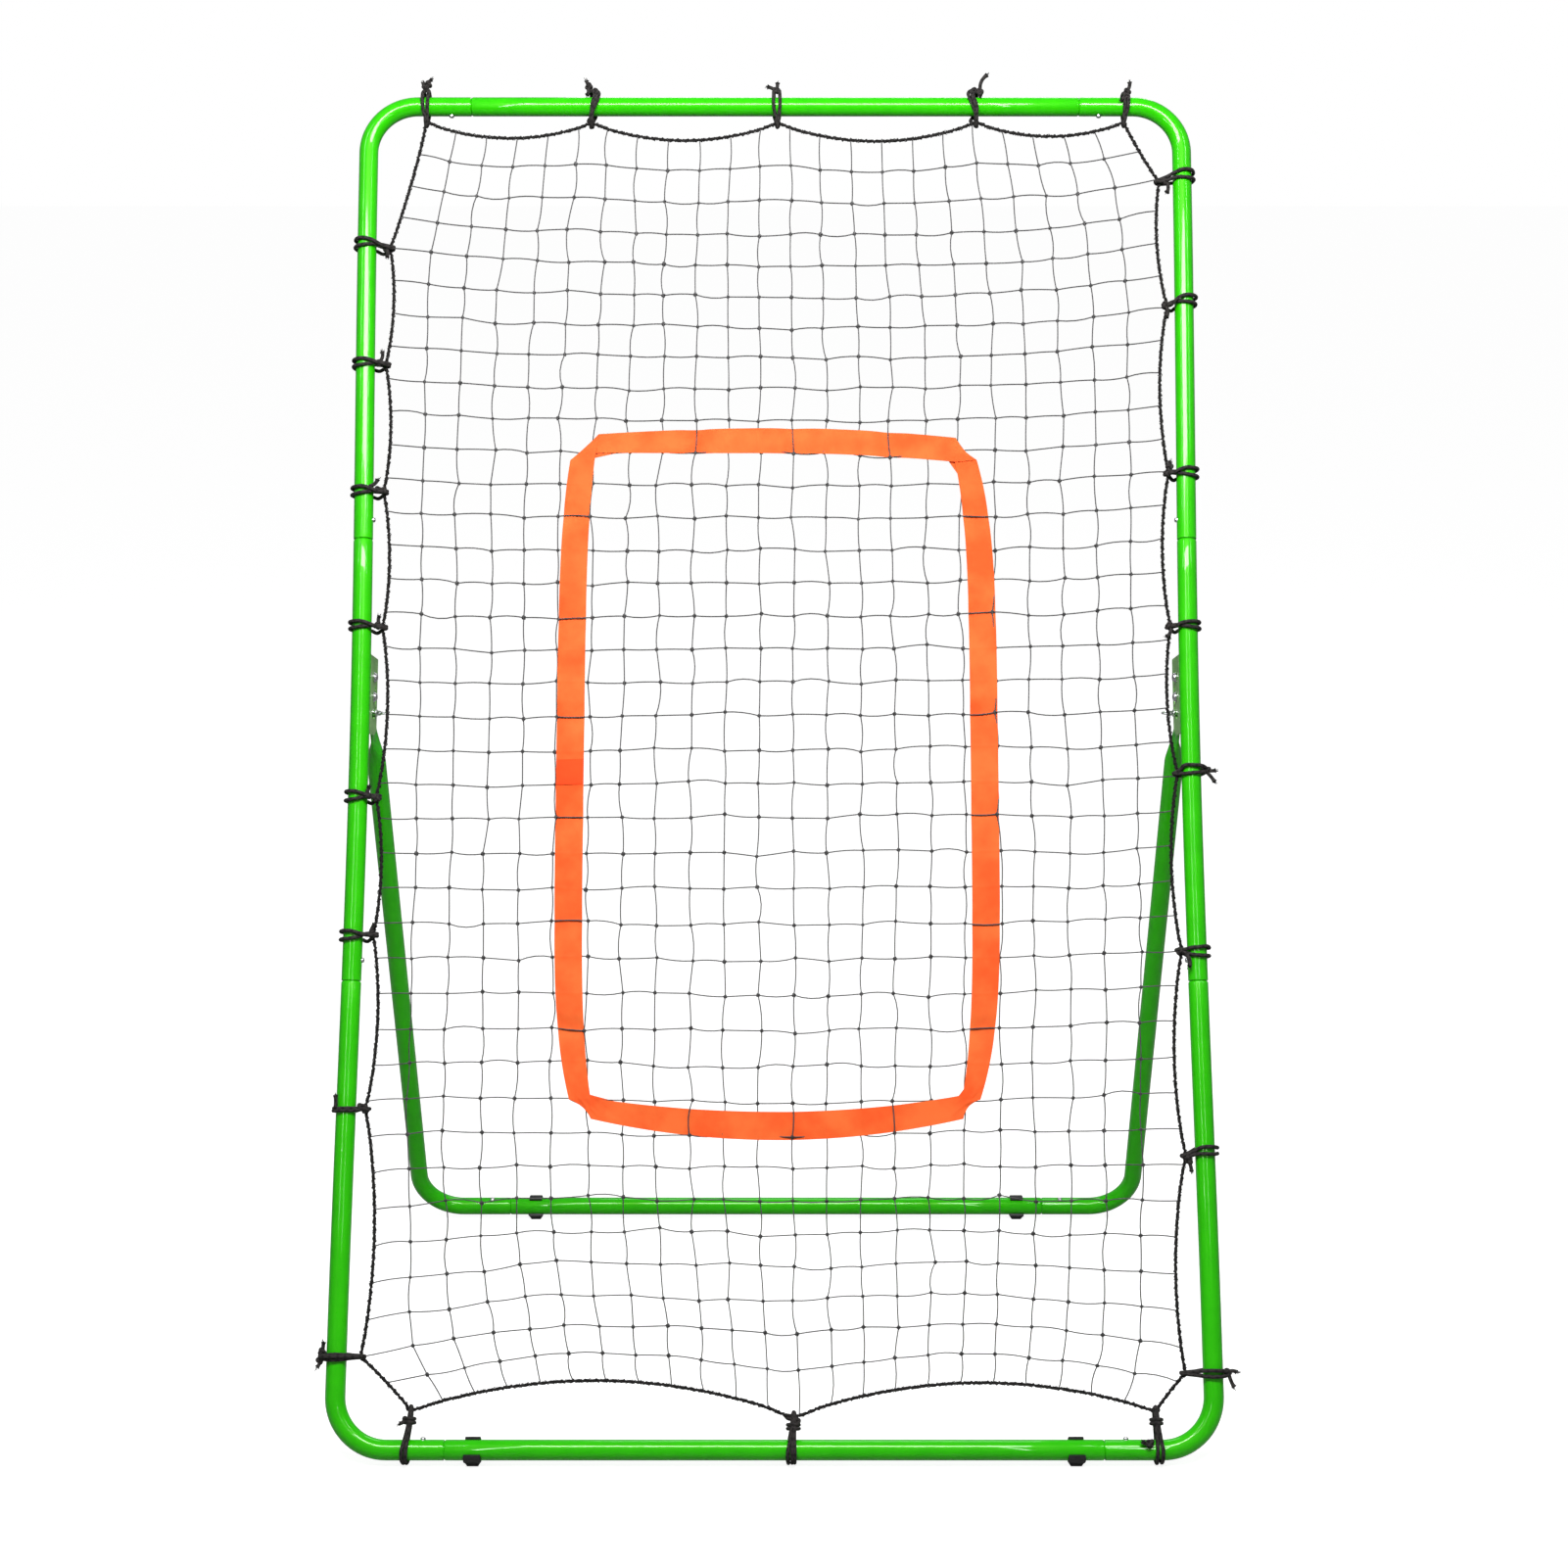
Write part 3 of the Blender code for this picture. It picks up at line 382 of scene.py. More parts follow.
def string_material():
    """Dark grey twisted polyethylene string."""
    made = Nodes("net_string", (0.03, 0.028, 0.028), 0.55, Sheen_Weight=0.1)
    made.colours(made.noise(60, 3), (0.030, 0.029, 0.030), (0.085, 0.082, 0.084))
    made.bump(made.wave(140, 2.0, "DIAGONAL", 0.6), 0.6, 0.0003)
    return made.material


def fuzzy_material():
    """Matt black overlock thread."""
    made = Nodes("overlock_thread", (0.012, 0.010, 0.010), 0.9, Sheen_Weight=0.04, Specular_IOR_Level=0.2)
    made.colours(made.noise(900, 4), (0.004, 0.004, 0.004), (0.030, 0.026, 0.026))
    made.bump(made.noise(2600, 4), 0.8, 0.0004)
    return made.material


def tape_material(name, dark, light):
    """Plain woven orange polyester tape."""
    made = Nodes(name, light, 0.75, Sheen_Weight=0.02, Specular_IOR_Level=0.2)
    made.colours(made.noise(24, 5), dark, light, 0.36, 0.64)
    weave = made.math("MULTIPLY", made.wave(0, 320, "Y"), made.wave(320, 0, "X"))
    crumple = made.math("MULTIPLY", made.noise(140, 4), 1.2)
    made.bump(made.math("ADD", weave, crumple), 0.35, 0.0003)
    return made.material


GREEN = paint_material("lime_green_paint", (0.023, 0.550, 0.0003), (0.028, 0.600, 0.0004))
PALE = paint_material("bracket_paint", (0.26, 0.70, 0.15), (0.38, 0.82, 0.24))
ZINC = clouded(
    "bright_zinc", (0.70, 0.71, 0.73), 0.28, (420, 4, (0.50, 0.51, 0.54), (0.82, 0.83, 0.84)),
    (1500, 3, 0.18, 0.42), (1800, 2, 0.10, 0.0001), metallic=1.0,
)
PLASTIC = clouded(
    "moulded_black_plastic", (0.012, 0.012, 0.013), 0.5,
    (300, 3, (0.008, 0.008, 0.009), (0.022, 0.022, 0.023)), (700, 2, 0.42, 0.62), (1600, 3, 0.25, 0.0002),
)
BRAID = braid_material()
STRING = string_material()
FUZZ = fuzzy_material()
TAPE = tape_material("woven_orange_tape", (0.98, 0.105, 0.013), (1.0, 0.165, 0.030))
# The lap's deeper orange is painted shade: it stands for light that shines through one layer of tape but
# less through two.
LAP_TAPE_PAINTED_SHADE = tape_material("doubled_orange_tape_painted_shade", (0.95, 0.065, 0.005), (1.0, 0.090, 0.010))


def finish_piece(obj, body, material, slot, *nodes):
    """Gives a new piece its material and its body, and hides the CAD nodes that it stands for. The slot is
    not used.
    """
    obj.data.materials.clear()
    obj.data.materials.append(material)
    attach(obj, body)
    if nodes:
        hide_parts(*nodes)


# Tubes -------------------------------------------------------------------------------------------

TUBE_SIDES = 40
BEND_STEPS = 20
LIP = 0.0004                        # the soft lip at a tube's cut end
SHOULDER = (0.0022, 0.0010)         # a neck's shoulder: where it starts, and its middle
SHOULDER_RISE = 0.0011              # how far its middle stands above the neck
BUTTON_HOLE_RADIUS = 0.0036
BUTTON_HOLE_DEPTHS = (0.0045, 0.0150)
TONGUE_HOLE_REACH = 0.006
DRILL_SIDES = 32
TURN_SIDES = 48
RING_SPACING = 0.001                # nominal spacing of small pieces' rings in their UV map
TONGUE_SQUARENESS = 5
ROUND_SQUARENESS = 2                # the power of a round section


def tube_shell(name, space, path, radii, bores):
    """A hollow tube with its outside, both end faces and its bore."""
    path = np.asarray(path, float)
    across = rounds(transport(path), TUBE_SIDES)
    outside = path[:, None] + np.asarray(radii)[:, None, None] * across
    inside = path[:, None] + np.asarray(bores)[:, None, None] * across
    along = lengths_along(path)
    along = np.concatenate([along, along[::-1]])
    build = Build()
    build.rings(np.concatenate([outside, inside[::-1]]), along, closed=True)
    obj = build.make(name, space)
    fix_normals(obj)
    return obj


def fix_normals(obj):
    """Turns a closed mesh's faces outward."""
    shape = bmesh.new()
    shape.from_mesh(obj.data)
    bmesh.ops.recalc_face_normals(shape, faces=shape.faces)
    shape.to_mesh(obj.data)
    shape.free()


def female(points):
    """Radii of a tube that others slide into, with a softened lip at both ends."""
    radii = np.full(len(points), TUBE_RADIUS)
    radii[[0, -1]] -= LIP
    return radii, np.full(len(points), TUBE_RADIUS - TUBE_WALL)


def with_lips(points):
    """The path with one more point just inside each end."""
    points = [Vector(p) for p in points]
    first = points[0] + (points[1] - points[0]).normalized() * LIP
    last = points[-1] + (points[-2] - points[-1]).normalized() * LIP
    return [points[0], first, *points[1:-1], last, points[-1]]


def corner_path(side, level):
    """A corner's centre line from its bar joint to the end of its bend."""
    end = FRAME_HEIGHT if level > 0 else 0
    centre = Vector((HALF_WIDTH - BEND_RADIUS, end - level * BEND_RADIUS, 0))
    path = [Vector((BAR_JOINT, end, 0))]
    for angle in steps(0, math.pi / 2, BEND_STEPS):
        path.append(centre + BEND_RADIUS * Vector((math.sin(angle), level * math.cos(angle), 0)))
    return [Vector((side * place.x, place.y, 0)) for place in path]


def side_place(side, up):
    """A place on a side's centre line."""
    return Vector((side * side_x(up), up, 0))


def neck(end):
    """Distances and radii of a tube's last stretch, whose neck slides into the next tube."""
    edge = end - JOINT_GAP
    distances = [edge - SHOULDER[0], edge - SHOULDER[1], edge, end + NECK_LENGTH]
    return distances, [TUBE_RADIUS, NECK_RADIUS + SHOULDER_RISE, NECK_RADIUS, NECK_RADIUS]


def upper_corner(side):
    """A top corner: both ends take the necks of other tubes."""
    path = corner_path(side, 1)
    path += [side_place(side, up) for up in steps(path[-1].y, FRAME_HEIGHT - UPPER_JOINT, 10)[1:]]
    path = with_lips(path)
    return (path, *female(path))


def lower_corner(side):
    """A bottom corner: plain at the bar and necked at the side."""
    ends, end_radii = neck(LOWER_JOINT)
    path = with_lips(corner_path(side, -1))[:-2] + corner_path(side, -1)[-1:]
    radii = [TUBE_RADIUS - LIP] + [TUBE_RADIUS] * (len(path) - 1)
    ups = steps(path[-1].y, ends[0], 10)[1:-1]
    path += [side_place(side, up) for up in ups + ends]
    return wall_of(path, radii + [TUBE_RADIUS] * len(ups) + end_radii)


def side_tube(side):
    """The middle length of a side: plain at the bottom and necked at the top."""
    ends, end_radii = neck(FRAME_HEIGHT - UPPER_JOINT)
    ups = [LOWER_JOINT, LOWER_JOINT + LIP] + steps(LOWER_JOINT, ends[0], 12)[1:-1]
    radii = [TUBE_RADIUS - LIP] + [TUBE_RADIUS] * (len(ups) - 1)
    return wall_of([side_place(side, up) for up in ups + ends], radii + end_radii)


def cross_bar(up, half_length):
    """A straight bar with a neck at both ends."""
    ends, end_radii = neck(half_length)
    inner = steps(-ends[0], ends[0], 6)[1:-1]
    distances = [-end for end in reversed(ends)] + inner + ends
    radii = end_radii[::-1] + [TUBE_RADIUS] * len(inner) + end_radii
    return wall_of([Vector((along, up, 0)) for along in distances], radii)


def wall_of(path, radii):
    """A tube's path, outer radii and bore radii."""
    return path, np.array(radii), np.array(radii) - TUBE_WALL


def button_places():
    """Name, space, place, outward direction and way to the tube joint of each snap button."""
    out = []
    for word, side in SIDES.items():
        bar = side * (BAR_JOINT + BUTTON_INSET)
        to_middle = (-side, 0, 0)
        out.append((f"top_{word}", FRONT, (bar, FRAME_HEIGHT, 0), (0, -1, 0), to_middle))
        out.append((f"bottom_{word}", FRONT, (bar, 0, 0), (0, 1, 0), to_middle))
        for level, joint in (("upper", FRAME_HEIGHT - UPPER_JOINT), ("lower", LOWER_JOINT)):
            up = joint + BUTTON_INSET
            out.append((f"{level}_{word}", FRONT, (side * side_x(up), up, 0), to_middle, (0, -1, 0)))
        rear = side * (REAR_JOINT + BUTTON_INSET)
        out.append((f"rear_{word}", LEG, (rear, -LEG_LENGTH, 0), (0, 1, 0), to_middle))
    return out


def placed_frame(space, place, outward, sideways):
    """World matrix with local z outward from a place and local x along sideways."""
    out = (space.at(*outward) - space.origin).normalized()
    along = (space.at(*sideways) - space.origin).normalized()
    return basis(space.at(*place), along, out.cross(along), out)


def as_mesh(obj):
    """Takes the mesh out of an object and removes the object."""
    mesh = obj.data
    bpy.data.objects.remove(obj)
    return mesh


def turned(profile, matrix, closed=False, sides=TURN_SIDES):
    """A mesh turned about local z from (z, radius) entries, or (z, radius, outline) with a factor for
    each step round. A closed one has a bore: its profile runs out and back in."""
    angle = around(sides)
    rings = []
    for z, radius, *outline in profile:
        reach = radius * (outline[0] if outline else np.ones(sides))
        rings.append(np.column_stack([reach * np.cos(angle), reach * np.sin(angle), np.full(sides, z)]))
    build = Build()
    build.rings(np.array(rings), np.arange(len(profile)) * RING_SPACING, closed)
    mesh = as_mesh(build.make("turned"))
    mesh.transform(matrix)
    return mesh


def drill(obj, matrices, radius, low, high):
    """Cuts round holes along each matrix's z axis, and applies the cuts."""
    for matrix in matrices:
        tool = linked("drill", turned([(low, radius), (high, radius)], matrix, sides=DRILL_SIDES))
        cut = obj.modifiers.new("hole", "BOOLEAN")
        cut.operation = "DIFFERENCE"
        cut.solver = "EXACT"
        cut.object = tool
        settle(obj)
        bpy.data.objects.remove(tool)


def settle(obj):
    """Applies an object's modifiers."""
    graph = bpy.context.evaluated_depsgraph_get()
    mesh = bpy.data.meshes.new_from_object(obj.evaluated_get(graph))
    obj.modifiers.clear()
    obj.data = mesh


def make_tubes():
    """Every tube, with the holes of its snap buttons."""
    made = {
        "top_bar": (FRONT, *cross_bar(FRAME_HEIGHT, BAR_JOINT)),
        "bottom_bar": (FRONT, *cross_bar(0, BAR_JOINT)),
        "rear_bar": (LEG, *cross_bar(-LEG_LENGTH, REAR_JOINT)),
    }
    for word, side in SIDES.items():
        made[f"corner_tube_top_{word}"] = (FRONT, *upper_corner(side))
        made[f"corner_tube_bottom_{word}"] = (FRONT, *lower_corner(side))
        made[f"side_tube_{word}"] = (FRONT, *side_tube(side))
    tubes = {node: tube_shell(f"{node}_painted", *shape) for node, shape in made.items()}
    for word, side in SIDES.items():
        tubes[f"rear_leg_{word}"] = leg_shell(word, side)
    holes = {}
    for name, *frame_words in button_places():
        level, word = name.rsplit("_", 1)
        pair = {
            "top": ("top_bar", f"corner_tube_top_{word}"),
            "bottom": ("bottom_bar", f"corner_tube_bottom_{word}"),
            "upper": (f"side_tube_{word}", f"corner_tube_top_{word}"),
            "lower": (f"side_tube_{word}", f"corner_tube_bottom_{word}"),
            "rear": ("rear_bar", f"rear_leg_{word}"),
        }[level]
        for tube in pair:
            holes.setdefault(tube, []).append(placed_frame(*frame_words))
    for node, tube in tubes.items():
        drill(tube, holes[node], BUTTON_HOLE_RADIUS, *BUTTON_HOLE_DEPTHS)
        tube.data.set_sharp_from_angle(angle=HARD_ANGLE)
        body = "rear_leg" if node.startswith("rear") else "front_frame"
        finish_piece(tube, body, GREEN, "green_tube", node)


def leg_section(reach):
    """Half thickness, half width and squareness of the leg's section, this far from the hinge."""
    if reach < TONGUE_FLAT:
        width = math.sqrt(max(TONGUE_HALF_WIDTH**2 - min(reach, 0) ** 2, 0))
        return TONGUE_HALF_THICKNESS, width, TONGUE_SQUARENESS
    share = min((reach - TONGUE_FLAT) / (TONGUE_ROUND - TONGUE_FLAT), 1)
    share = share * share * (3 - 2 * share)
    thickness = TONGUE_HALF_THICKNESS + (TUBE_RADIUS - TONGUE_HALF_THICKNESS) * share
    width = TONGUE_HALF_WIDTH + (TUBE_RADIUS - TONGUE_HALF_WIDTH) * share
    squareness = ROUND_SQUARENESS + (TONGUE_SQUARENESS - ROUND_SQUARENESS) * (1 - share) ** 2
    return thickness, width, squareness


def leg_ring(centre, outward, thickness, width, squareness=ROUND_SQUARENESS):
    """A ring of the leg: an ellipse, or a squarer oval where the tube is flattened."""
    angle = 2 * np.pi * (np.arange(TUBE_SIDES) + 0.5) / TUBE_SIDES
    power = 2 / squareness
    across = np.sign(np.cos(angle)) * np.abs(np.cos(angle)) ** power
    along = np.sign(np.sin(angle)) * np.abs(np.sin(angle)) ** power
    return centre + np.outer(thickness * across, outward) + np.outer(width * along, (0, 0, 1))


def leg_shell(word, side):
    """A leg with its flattened tongue, its bend and the open end that the rear bar slides into."""
    flip = np.array([side, 1, 1])
    tip = [-TONGUE_HALF_WIDTH * math.cos(angle) for angle in steps(0.10, math.pi / 2, 10)]
    reaches = tip + [0.02, 0.04] + steps(TONGUE_FLAT, TONGUE_ROUND, 14)
    rings = []
    for reach in reaches:
        centre = np.array([LEG_HALF_WIDTH, -reach, 0]) * flip
        rings.append(leg_ring(centre, (side, 0, 0), *leg_section(reach)))
    bend = []
    centre = np.array([LEG_HALF_WIDTH - LEG_BEND_RADIUS, LEG_BEND_RADIUS - LEG_LENGTH, 0])
    for angle in steps(0, math.pi / 2, BEND_STEPS):
        outward = np.array([math.cos(angle), -math.sin(angle), 0])
        bend.append((centre + outward * LEG_BEND_RADIUS, outward, TUBE_RADIUS))
    down = np.array([0, -1.0, 0])
    bend.append((np.array([REAR_JOINT + LIP, -LEG_LENGTH, 0]), down, TUBE_RADIUS))
    end = np.array([REAR_JOINT, -LEG_LENGTH, 0])
    bend.append((end, down, TUBE_RADIUS - LIP))
    for place, outward, radius in bend:
        rings.append(leg_ring(place * flip, outward * flip, radius, radius))
    bore = TUBE_RADIUS - TUBE_WALL
    for place, outward, _ in [(end, down, 0)] + bend[:-2][::-1]:
        rings.append(leg_ring(place * flip, outward * flip, bore, bore))
    rings = np.array(rings)
    build = Build()
    build.rings(rings, lengths_along(rings.mean(1)))
    obj = build.make(f"rear_leg_{word}_painted", LEG)
    fix_normals(obj)
    sideways = [
        Matrix.Translation(LEG.at(side * LEG_HALF_WIDTH, up)) @ Matrix.Rotation(math.pi / 2, 4, "Y")
        for up in (0, -PIN_REACH)
    ]
    drill(obj, sideways, HOLE_RADIUS, -TONGUE_HOLE_REACH, TONGUE_HOLE_REACH)
    return obj


make_tubes()


# Brackets, bolts and lock pins -------------------------------------------------------------------

CHEEK_THICKNESS = 0.0025
CHEEK_GAP = 0.004
BRACKET_BACK = 0.072
BRACKET_TOP = 0.048
BRACKET_TOP_BACK = 0.055
BRACKET_CORNER = 0.003
BRACKET_BOTTOM = 0.050
BRACKET_FOOT = 0.022
BRACKET_SWEEP = 0.048               # the radius of the cheeks' curved edge about the pivot
SWEEP_START = math.radians(-95)
FLAT_NORMAL = 0.99                  # faces that look this much sideways are shaded flat
WEB_FRONT = 0.0095
WEB_BACK = 0.0150
WEB_OVERLAP = 0.0010
BOLT_RADIUS = 0.003
TIE_BOLT_UP = 0.0250
SLOT_HALF_WIDTH = 0.0036
SLOT_START = math.radians(-4)
SLOT_PAST_OPEN = math.radians(16.5)
LEG_OPENING = FRONT.up.angle(LEG.up)
ADJUST_HOLES_UP = (0.030, 0.0145, -0.0026)
ADJUST_HOLES_BACK = 0.058
SLIT = 0.0003                       # the play between pieces that lie against each other
FACE = CHEEK_GAP / 2 + CHEEK_THICKNESS + SLIT       # where the washers sit, from the bracket's middle
SEAT = FACE + 0.0012                # and where the heads and nuts do
WASHER_RADIUS = 0.0066
SPACER_RADIUS = 0.0045
NUT_RADIUS = 0.0057
NUT_HEIGHT = 0.0048
HEAD_RADIUS = 0.0054
HEAD_HEIGHT = 0.0036
HEAD_CURVE = ((0.0002, 0.0034), (0.0008, 0.0044), (0.0018, 0.0051), (0.0030, HEAD_RADIUS))
BOLT_END = SEAT + 0.0070
THREAD_PITCH = 0.0010
THREAD_DEPTH = 0.0002
SOCKET_RADIUS = 0.0021
SOCKET_DEPTH = 0.0018
EDGE = 0.0003                       # softened edge of small hardware
AXIS = 0.0001                       # the radius at which a turned piece closes on its axis
RIM = 0.0004                        # rounded rims of plates
WELD_OVERLAP = 0.0004               # how far welded pieces reach into each other
BEAD_INSET = 0.003                  # how far a weld's bead stops short of its cheek's ends
BEAD_STEP = 0.0005
BEAD_RADIUS = 0.0015
BEAD_RIPPLE = 0.00022
BEAD_PITCH = 0.0021
PIN_HEAD_RADIUS = 0.0048
PIN_HEAD_HEIGHT = 0.0030
PIN_TIP = FACE + 0.0062
EYE_SIZE = 0.0060
EYE_THICKNESS = 0.0022
EYE_HOLE_RADIUS = 0.0013
RING_RADIUS = 0.0052
RING_WIRE = 0.0007
RING_TURNS = 1.9
MERGE_DISTANCE = 0.000005
BALL_RADIUS = 0.0010
BALL_PLACE = 0.0028                 # a detent ball's distance from the pin's tip
BALL_SUNK = 0.0004


def plate(outlines, thickness, matrix):
    """A flat plate in local x-y with softly rounded rims. The first outline is its edge and the
    others are its holes."""
    curve = bpy.data.curves.new("plate", "CURVE")
    curve.dimensions = "2D"
    curve.fill_mode = "BOTH"
    curve.extrude = thickness / 2 - RIM
    curve.bevel_depth = RIM
    curve.bevel_resolution = 1
    curve.offset = -RIM
    for index, outline in enumerate(outlines):
        outline = wound(outline, anticlockwise=index == 0)
        spline = curve.splines.new("POLY")
        spline.points.add(len(outline) - 1)
        spline.use_cyclic_u = True
        for point, (x, y) in zip(spline.points, outline):
            point.co = (x, y, 0, 1)
    obj = linked("plate", curve)
    bpy.context.view_layer.update()
    mesh = bpy.data.meshes.new_from_object(obj.evaluated_get(bpy.context.evaluated_depsgraph_get()))
    bpy.data.objects.remove(obj)
    mesh.transform(matrix)
    return mesh


def hardware(name, meshes, body, node):
    """A piece of zinc plated hardware on a body, that stands for one CAD node."""
    finish_piece(merged(name, meshes), body, ZINC, "hardware", node)


def wound(outline, anticlockwise):
    """An outline, turned the other way round where it has to be."""
    after = outline[1:] + outline[:1]
    area = sum(a[0] * b[1] - b[0] * a[1] for a, b in zip(outline, after))
    return outline if (area > 0) == anticlockwise else outline[::-1]


def merged(name, meshes):
    """One object of several closed meshes, facing out."""
    shape = bmesh.new()
    for mesh in meshes:
        shape.from_mesh(mesh)
    bmesh.ops.remove_doubles(shape, verts=shape.verts, dist=MERGE_DISTANCE)
    bmesh.ops.recalc_face_normals(shape, faces=shape.faces)
    whole = bpy.data.meshes.new(name)
    shape.to_mesh(whole)
    shape.free()
    whole.shade_smooth()
    whole.set_sharp_from_angle(angle=HARD_ANGLE)
    return linked(name, whole)


def circle(x, y, radius):
    """A round hole's outline."""
    return [(x + radius * math.cos(angle), y + radius * math.sin(angle)) for angle in around(28)]


def rounded(corner, before, after):
    """A corner of a cheek's outline, rounded."""
    corner, before, after = Vector(corner), Vector(before), Vector(after)
    start = corner + (before - corner).normalized() * BRACKET_CORNER
    end = corner + (after - corner).normalized() * BRACKET_CORNER
    out = []
    for share in steps(0, 1, 5):
        place = start * (1 - share) ** 2 + corner * (2 * share * (1 - share)) + end * share**2
        out.append((place.x, place.y))
    return out


def cheek_outline(start):
    """A bracket cheek as (back, up) from the pivot's level on the side tube's centre line."""
    corner_back = BRACKET_BACK - PIVOT_BACK
    last = -math.acos(corner_back / BRACKET_SWEEP)
    sweep = []
    for angle in steps(SWEEP_START, last, 20):
        sweep.append((PIVOT_BACK + BRACKET_SWEEP * math.cos(angle), BRACKET_SWEEP * math.sin(angle)))
    top_front = (start, BRACKET_TOP + (BRACKET_TOP_BACK - BRACKET_TOP) * start / BRACKET_BACK)
    top_back = (BRACKET_BACK, BRACKET_TOP_BACK)
    foot = rounded((BRACKET_FOOT, -BRACKET_BOTTOM), (start, -BRACKET_BOTTOM), sweep[0])
    back_corner = rounded(top_back, sweep[-1], top_front)
    return [(start, -BRACKET_BOTTOM), *foot, *sweep[1:], *back_corner, top_front]


def slot_outline():
    """A band about the pivot that the lock pin follows."""
    end = LEG_OPENING + SLOT_PAST_OPEN
    outline = [pin_place(angle, PIN_REACH + SLOT_HALF_WIDTH) for angle in steps(SLOT_START, end, 24)]
    outline += [slot_end(end, turn) for turn in steps(0, math.pi, 8)[1:-1]]
    outline += [pin_place(angle, PIN_REACH - SLOT_HALF_WIDTH) for angle in steps(end, SLOT_START, 24)]
    outline += [slot_end(SLOT_START, turn) for turn in steps(math.pi, 2 * math.pi, 8)[1:-1]]
    return outline


def pin_place(angle, reach=PIN_REACH):
    """A place at this angle about the pivot, as (back, up)."""
    return (PIVOT_BACK + reach * math.sin(angle), -reach * math.cos(angle))


def slot_end(angle, turn):
    """A place on one of the slot's round ends."""
    back, up = pin_place(angle)
    across = math.cos(turn) * SLOT_HALF_WIDTH
    onward = math.sin(turn) * SLOT_HALF_WIDTH
    return (
        back + across * math.sin(angle) + onward * math.cos(angle),
        up - across * math.cos(angle) + onward * math.sin(angle),
    )


def side_view(x):
    """World matrix of a plate seen from the side: local x to the back, y up the frame."""
    return basis(FRONT.at(x, PIVOT_UP), -FRONT.front, FRONT.up, FRONT.right)


def weld_bead(side, x):
    """A rippled weld along the side tube, where a cheek's outer face meets it."""
    ups = np.arange(BEAD_INSET - BRACKET_BOTTOM, BRACKET_TOP - BEAD_INSET, BEAD_STEP)
    tube_x = np.array([side * side_x(PIVOT_UP + up) for up in ups])
    back = np.sqrt(TUBE_RADIUS**2 - np.minimum((x - tube_x) ** 2, TUBE_RADIUS**2 * 0.9))
    path = np.column_stack([np.full(len(ups), x), PIVOT_UP + ups, -back - WELD_OVERLAP])
    radii = BEAD_RADIUS + BEAD_RIPPLE * np.sin(ups * 2 * np.pi / BEAD_PITCH) ** 2
    radii[[0, -1]] = BEAD_RADIUS / 3
    build = Build()
    build.tube(path, radii, 10)
    return as_mesh(build.make("bead", FRONT))


def make_bracket(word, side):
    """Two cheeks and the web between them, welded to the back of the side tube."""
    tube_x = side * side_x(PIVOT_UP)
    middle = side * LEG_HALF_WIDTH
    holes = [circle(PIVOT_BACK, up, HOLE_RADIUS) for up in (0, TIE_BOLT_UP)] + [slot_outline()]
    holes += [circle(ADJUST_HOLES_BACK, up, BOLT_RADIUS) for up in ADJUST_HOLES_UP]
    meshes = []
    for way in (-1, 1):
        x = middle + way * (CHEEK_GAP + CHEEK_THICKNESS) / 2
        far = max(abs(x + CHEEK_THICKNESS / 2 - tube_x), abs(x - CHEEK_THICKNESS / 2 - tube_x))
        start = math.sqrt(TUBE_RADIUS**2 - far**2) - WELD_OVERLAP
        meshes.append(plate([cheek_outline(start), *holes], CHEEK_THICKNESS, side_view(x)))
        meshes.append(weld_bead(side, middle + way * (CHEEK_GAP / 2 + CHEEK_THICKNESS)))
    web = [
        (WEB_FRONT, -BRACKET_BOTTOM + EDGE), (WEB_BACK, -BRACKET_BOTTOM + EDGE),
        (WEB_BACK, BRACKET_TOP), (WEB_FRONT, BRACKET_TOP),
    ]
    meshes.append(plate([web], CHEEK_GAP + WEB_OVERLAP, side_view(middle)))
    obj = merged(f"bracket_{word}_welded", meshes)
    for face in obj.data.polygons:
        face.use_smooth = abs(face.normal.x) < FLAT_NORMAL
    finish_piece(obj, "front_frame", PALE, "bracket_paint", f"bracket_{word}")


# How far a unit hexagon's edge is from its middle, at each step round
HEX = math.cos(math.pi / 6) / np.cos(around(TURN_SIDES) % (math.pi / 3) - math.pi / 6)


def thread(start, end):
    """A screw thread's rings, with rounded crests that climb one pitch a turn."""
    rings = []
    for z in np.arange(start, end, THREAD_PITCH / 6):
        wave = np.cos(2 * np.pi * z / THREAD_PITCH - around(TURN_SIDES))
        rings.append((z, BOLT_RADIUS - THREAD_DEPTH, 1 + 0.05 * wave))
    return rings


def bolt_profile():
    """A button head with a hex socket, its washer, a plain shank and a threaded end."""
    top = -SEAT - HEAD_HEIGHT
    return [
        (top + SOCKET_DEPTH, AXIS), (top + SOCKET_DEPTH, SOCKET_RADIUS, HEX),
        (top + EDGE, SOCKET_RADIUS, HEX), (top, SOCKET_RADIUS + 0.0004),
        *[(top + down, radius) for down, radius in HEAD_CURVE],
        (-SEAT, HEAD_RADIUS - EDGE), (-SEAT, WASHER_RADIUS - EDGE),
        (-SEAT + EDGE, WASHER_RADIUS), (-FACE - EDGE, WASHER_RADIUS), (-FACE, WASHER_RADIUS - EDGE),
        (-FACE, BOLT_RADIUS), (SEAT, BOLT_RADIUS), *thread(SEAT + 0.0005, BOLT_END - 0.0009),
        (BOLT_END - 0.0006, BOLT_RADIUS - 0.0003), (BOLT_END, BOLT_RADIUS - 0.0009), (BOLT_END, AXIS),
    ]


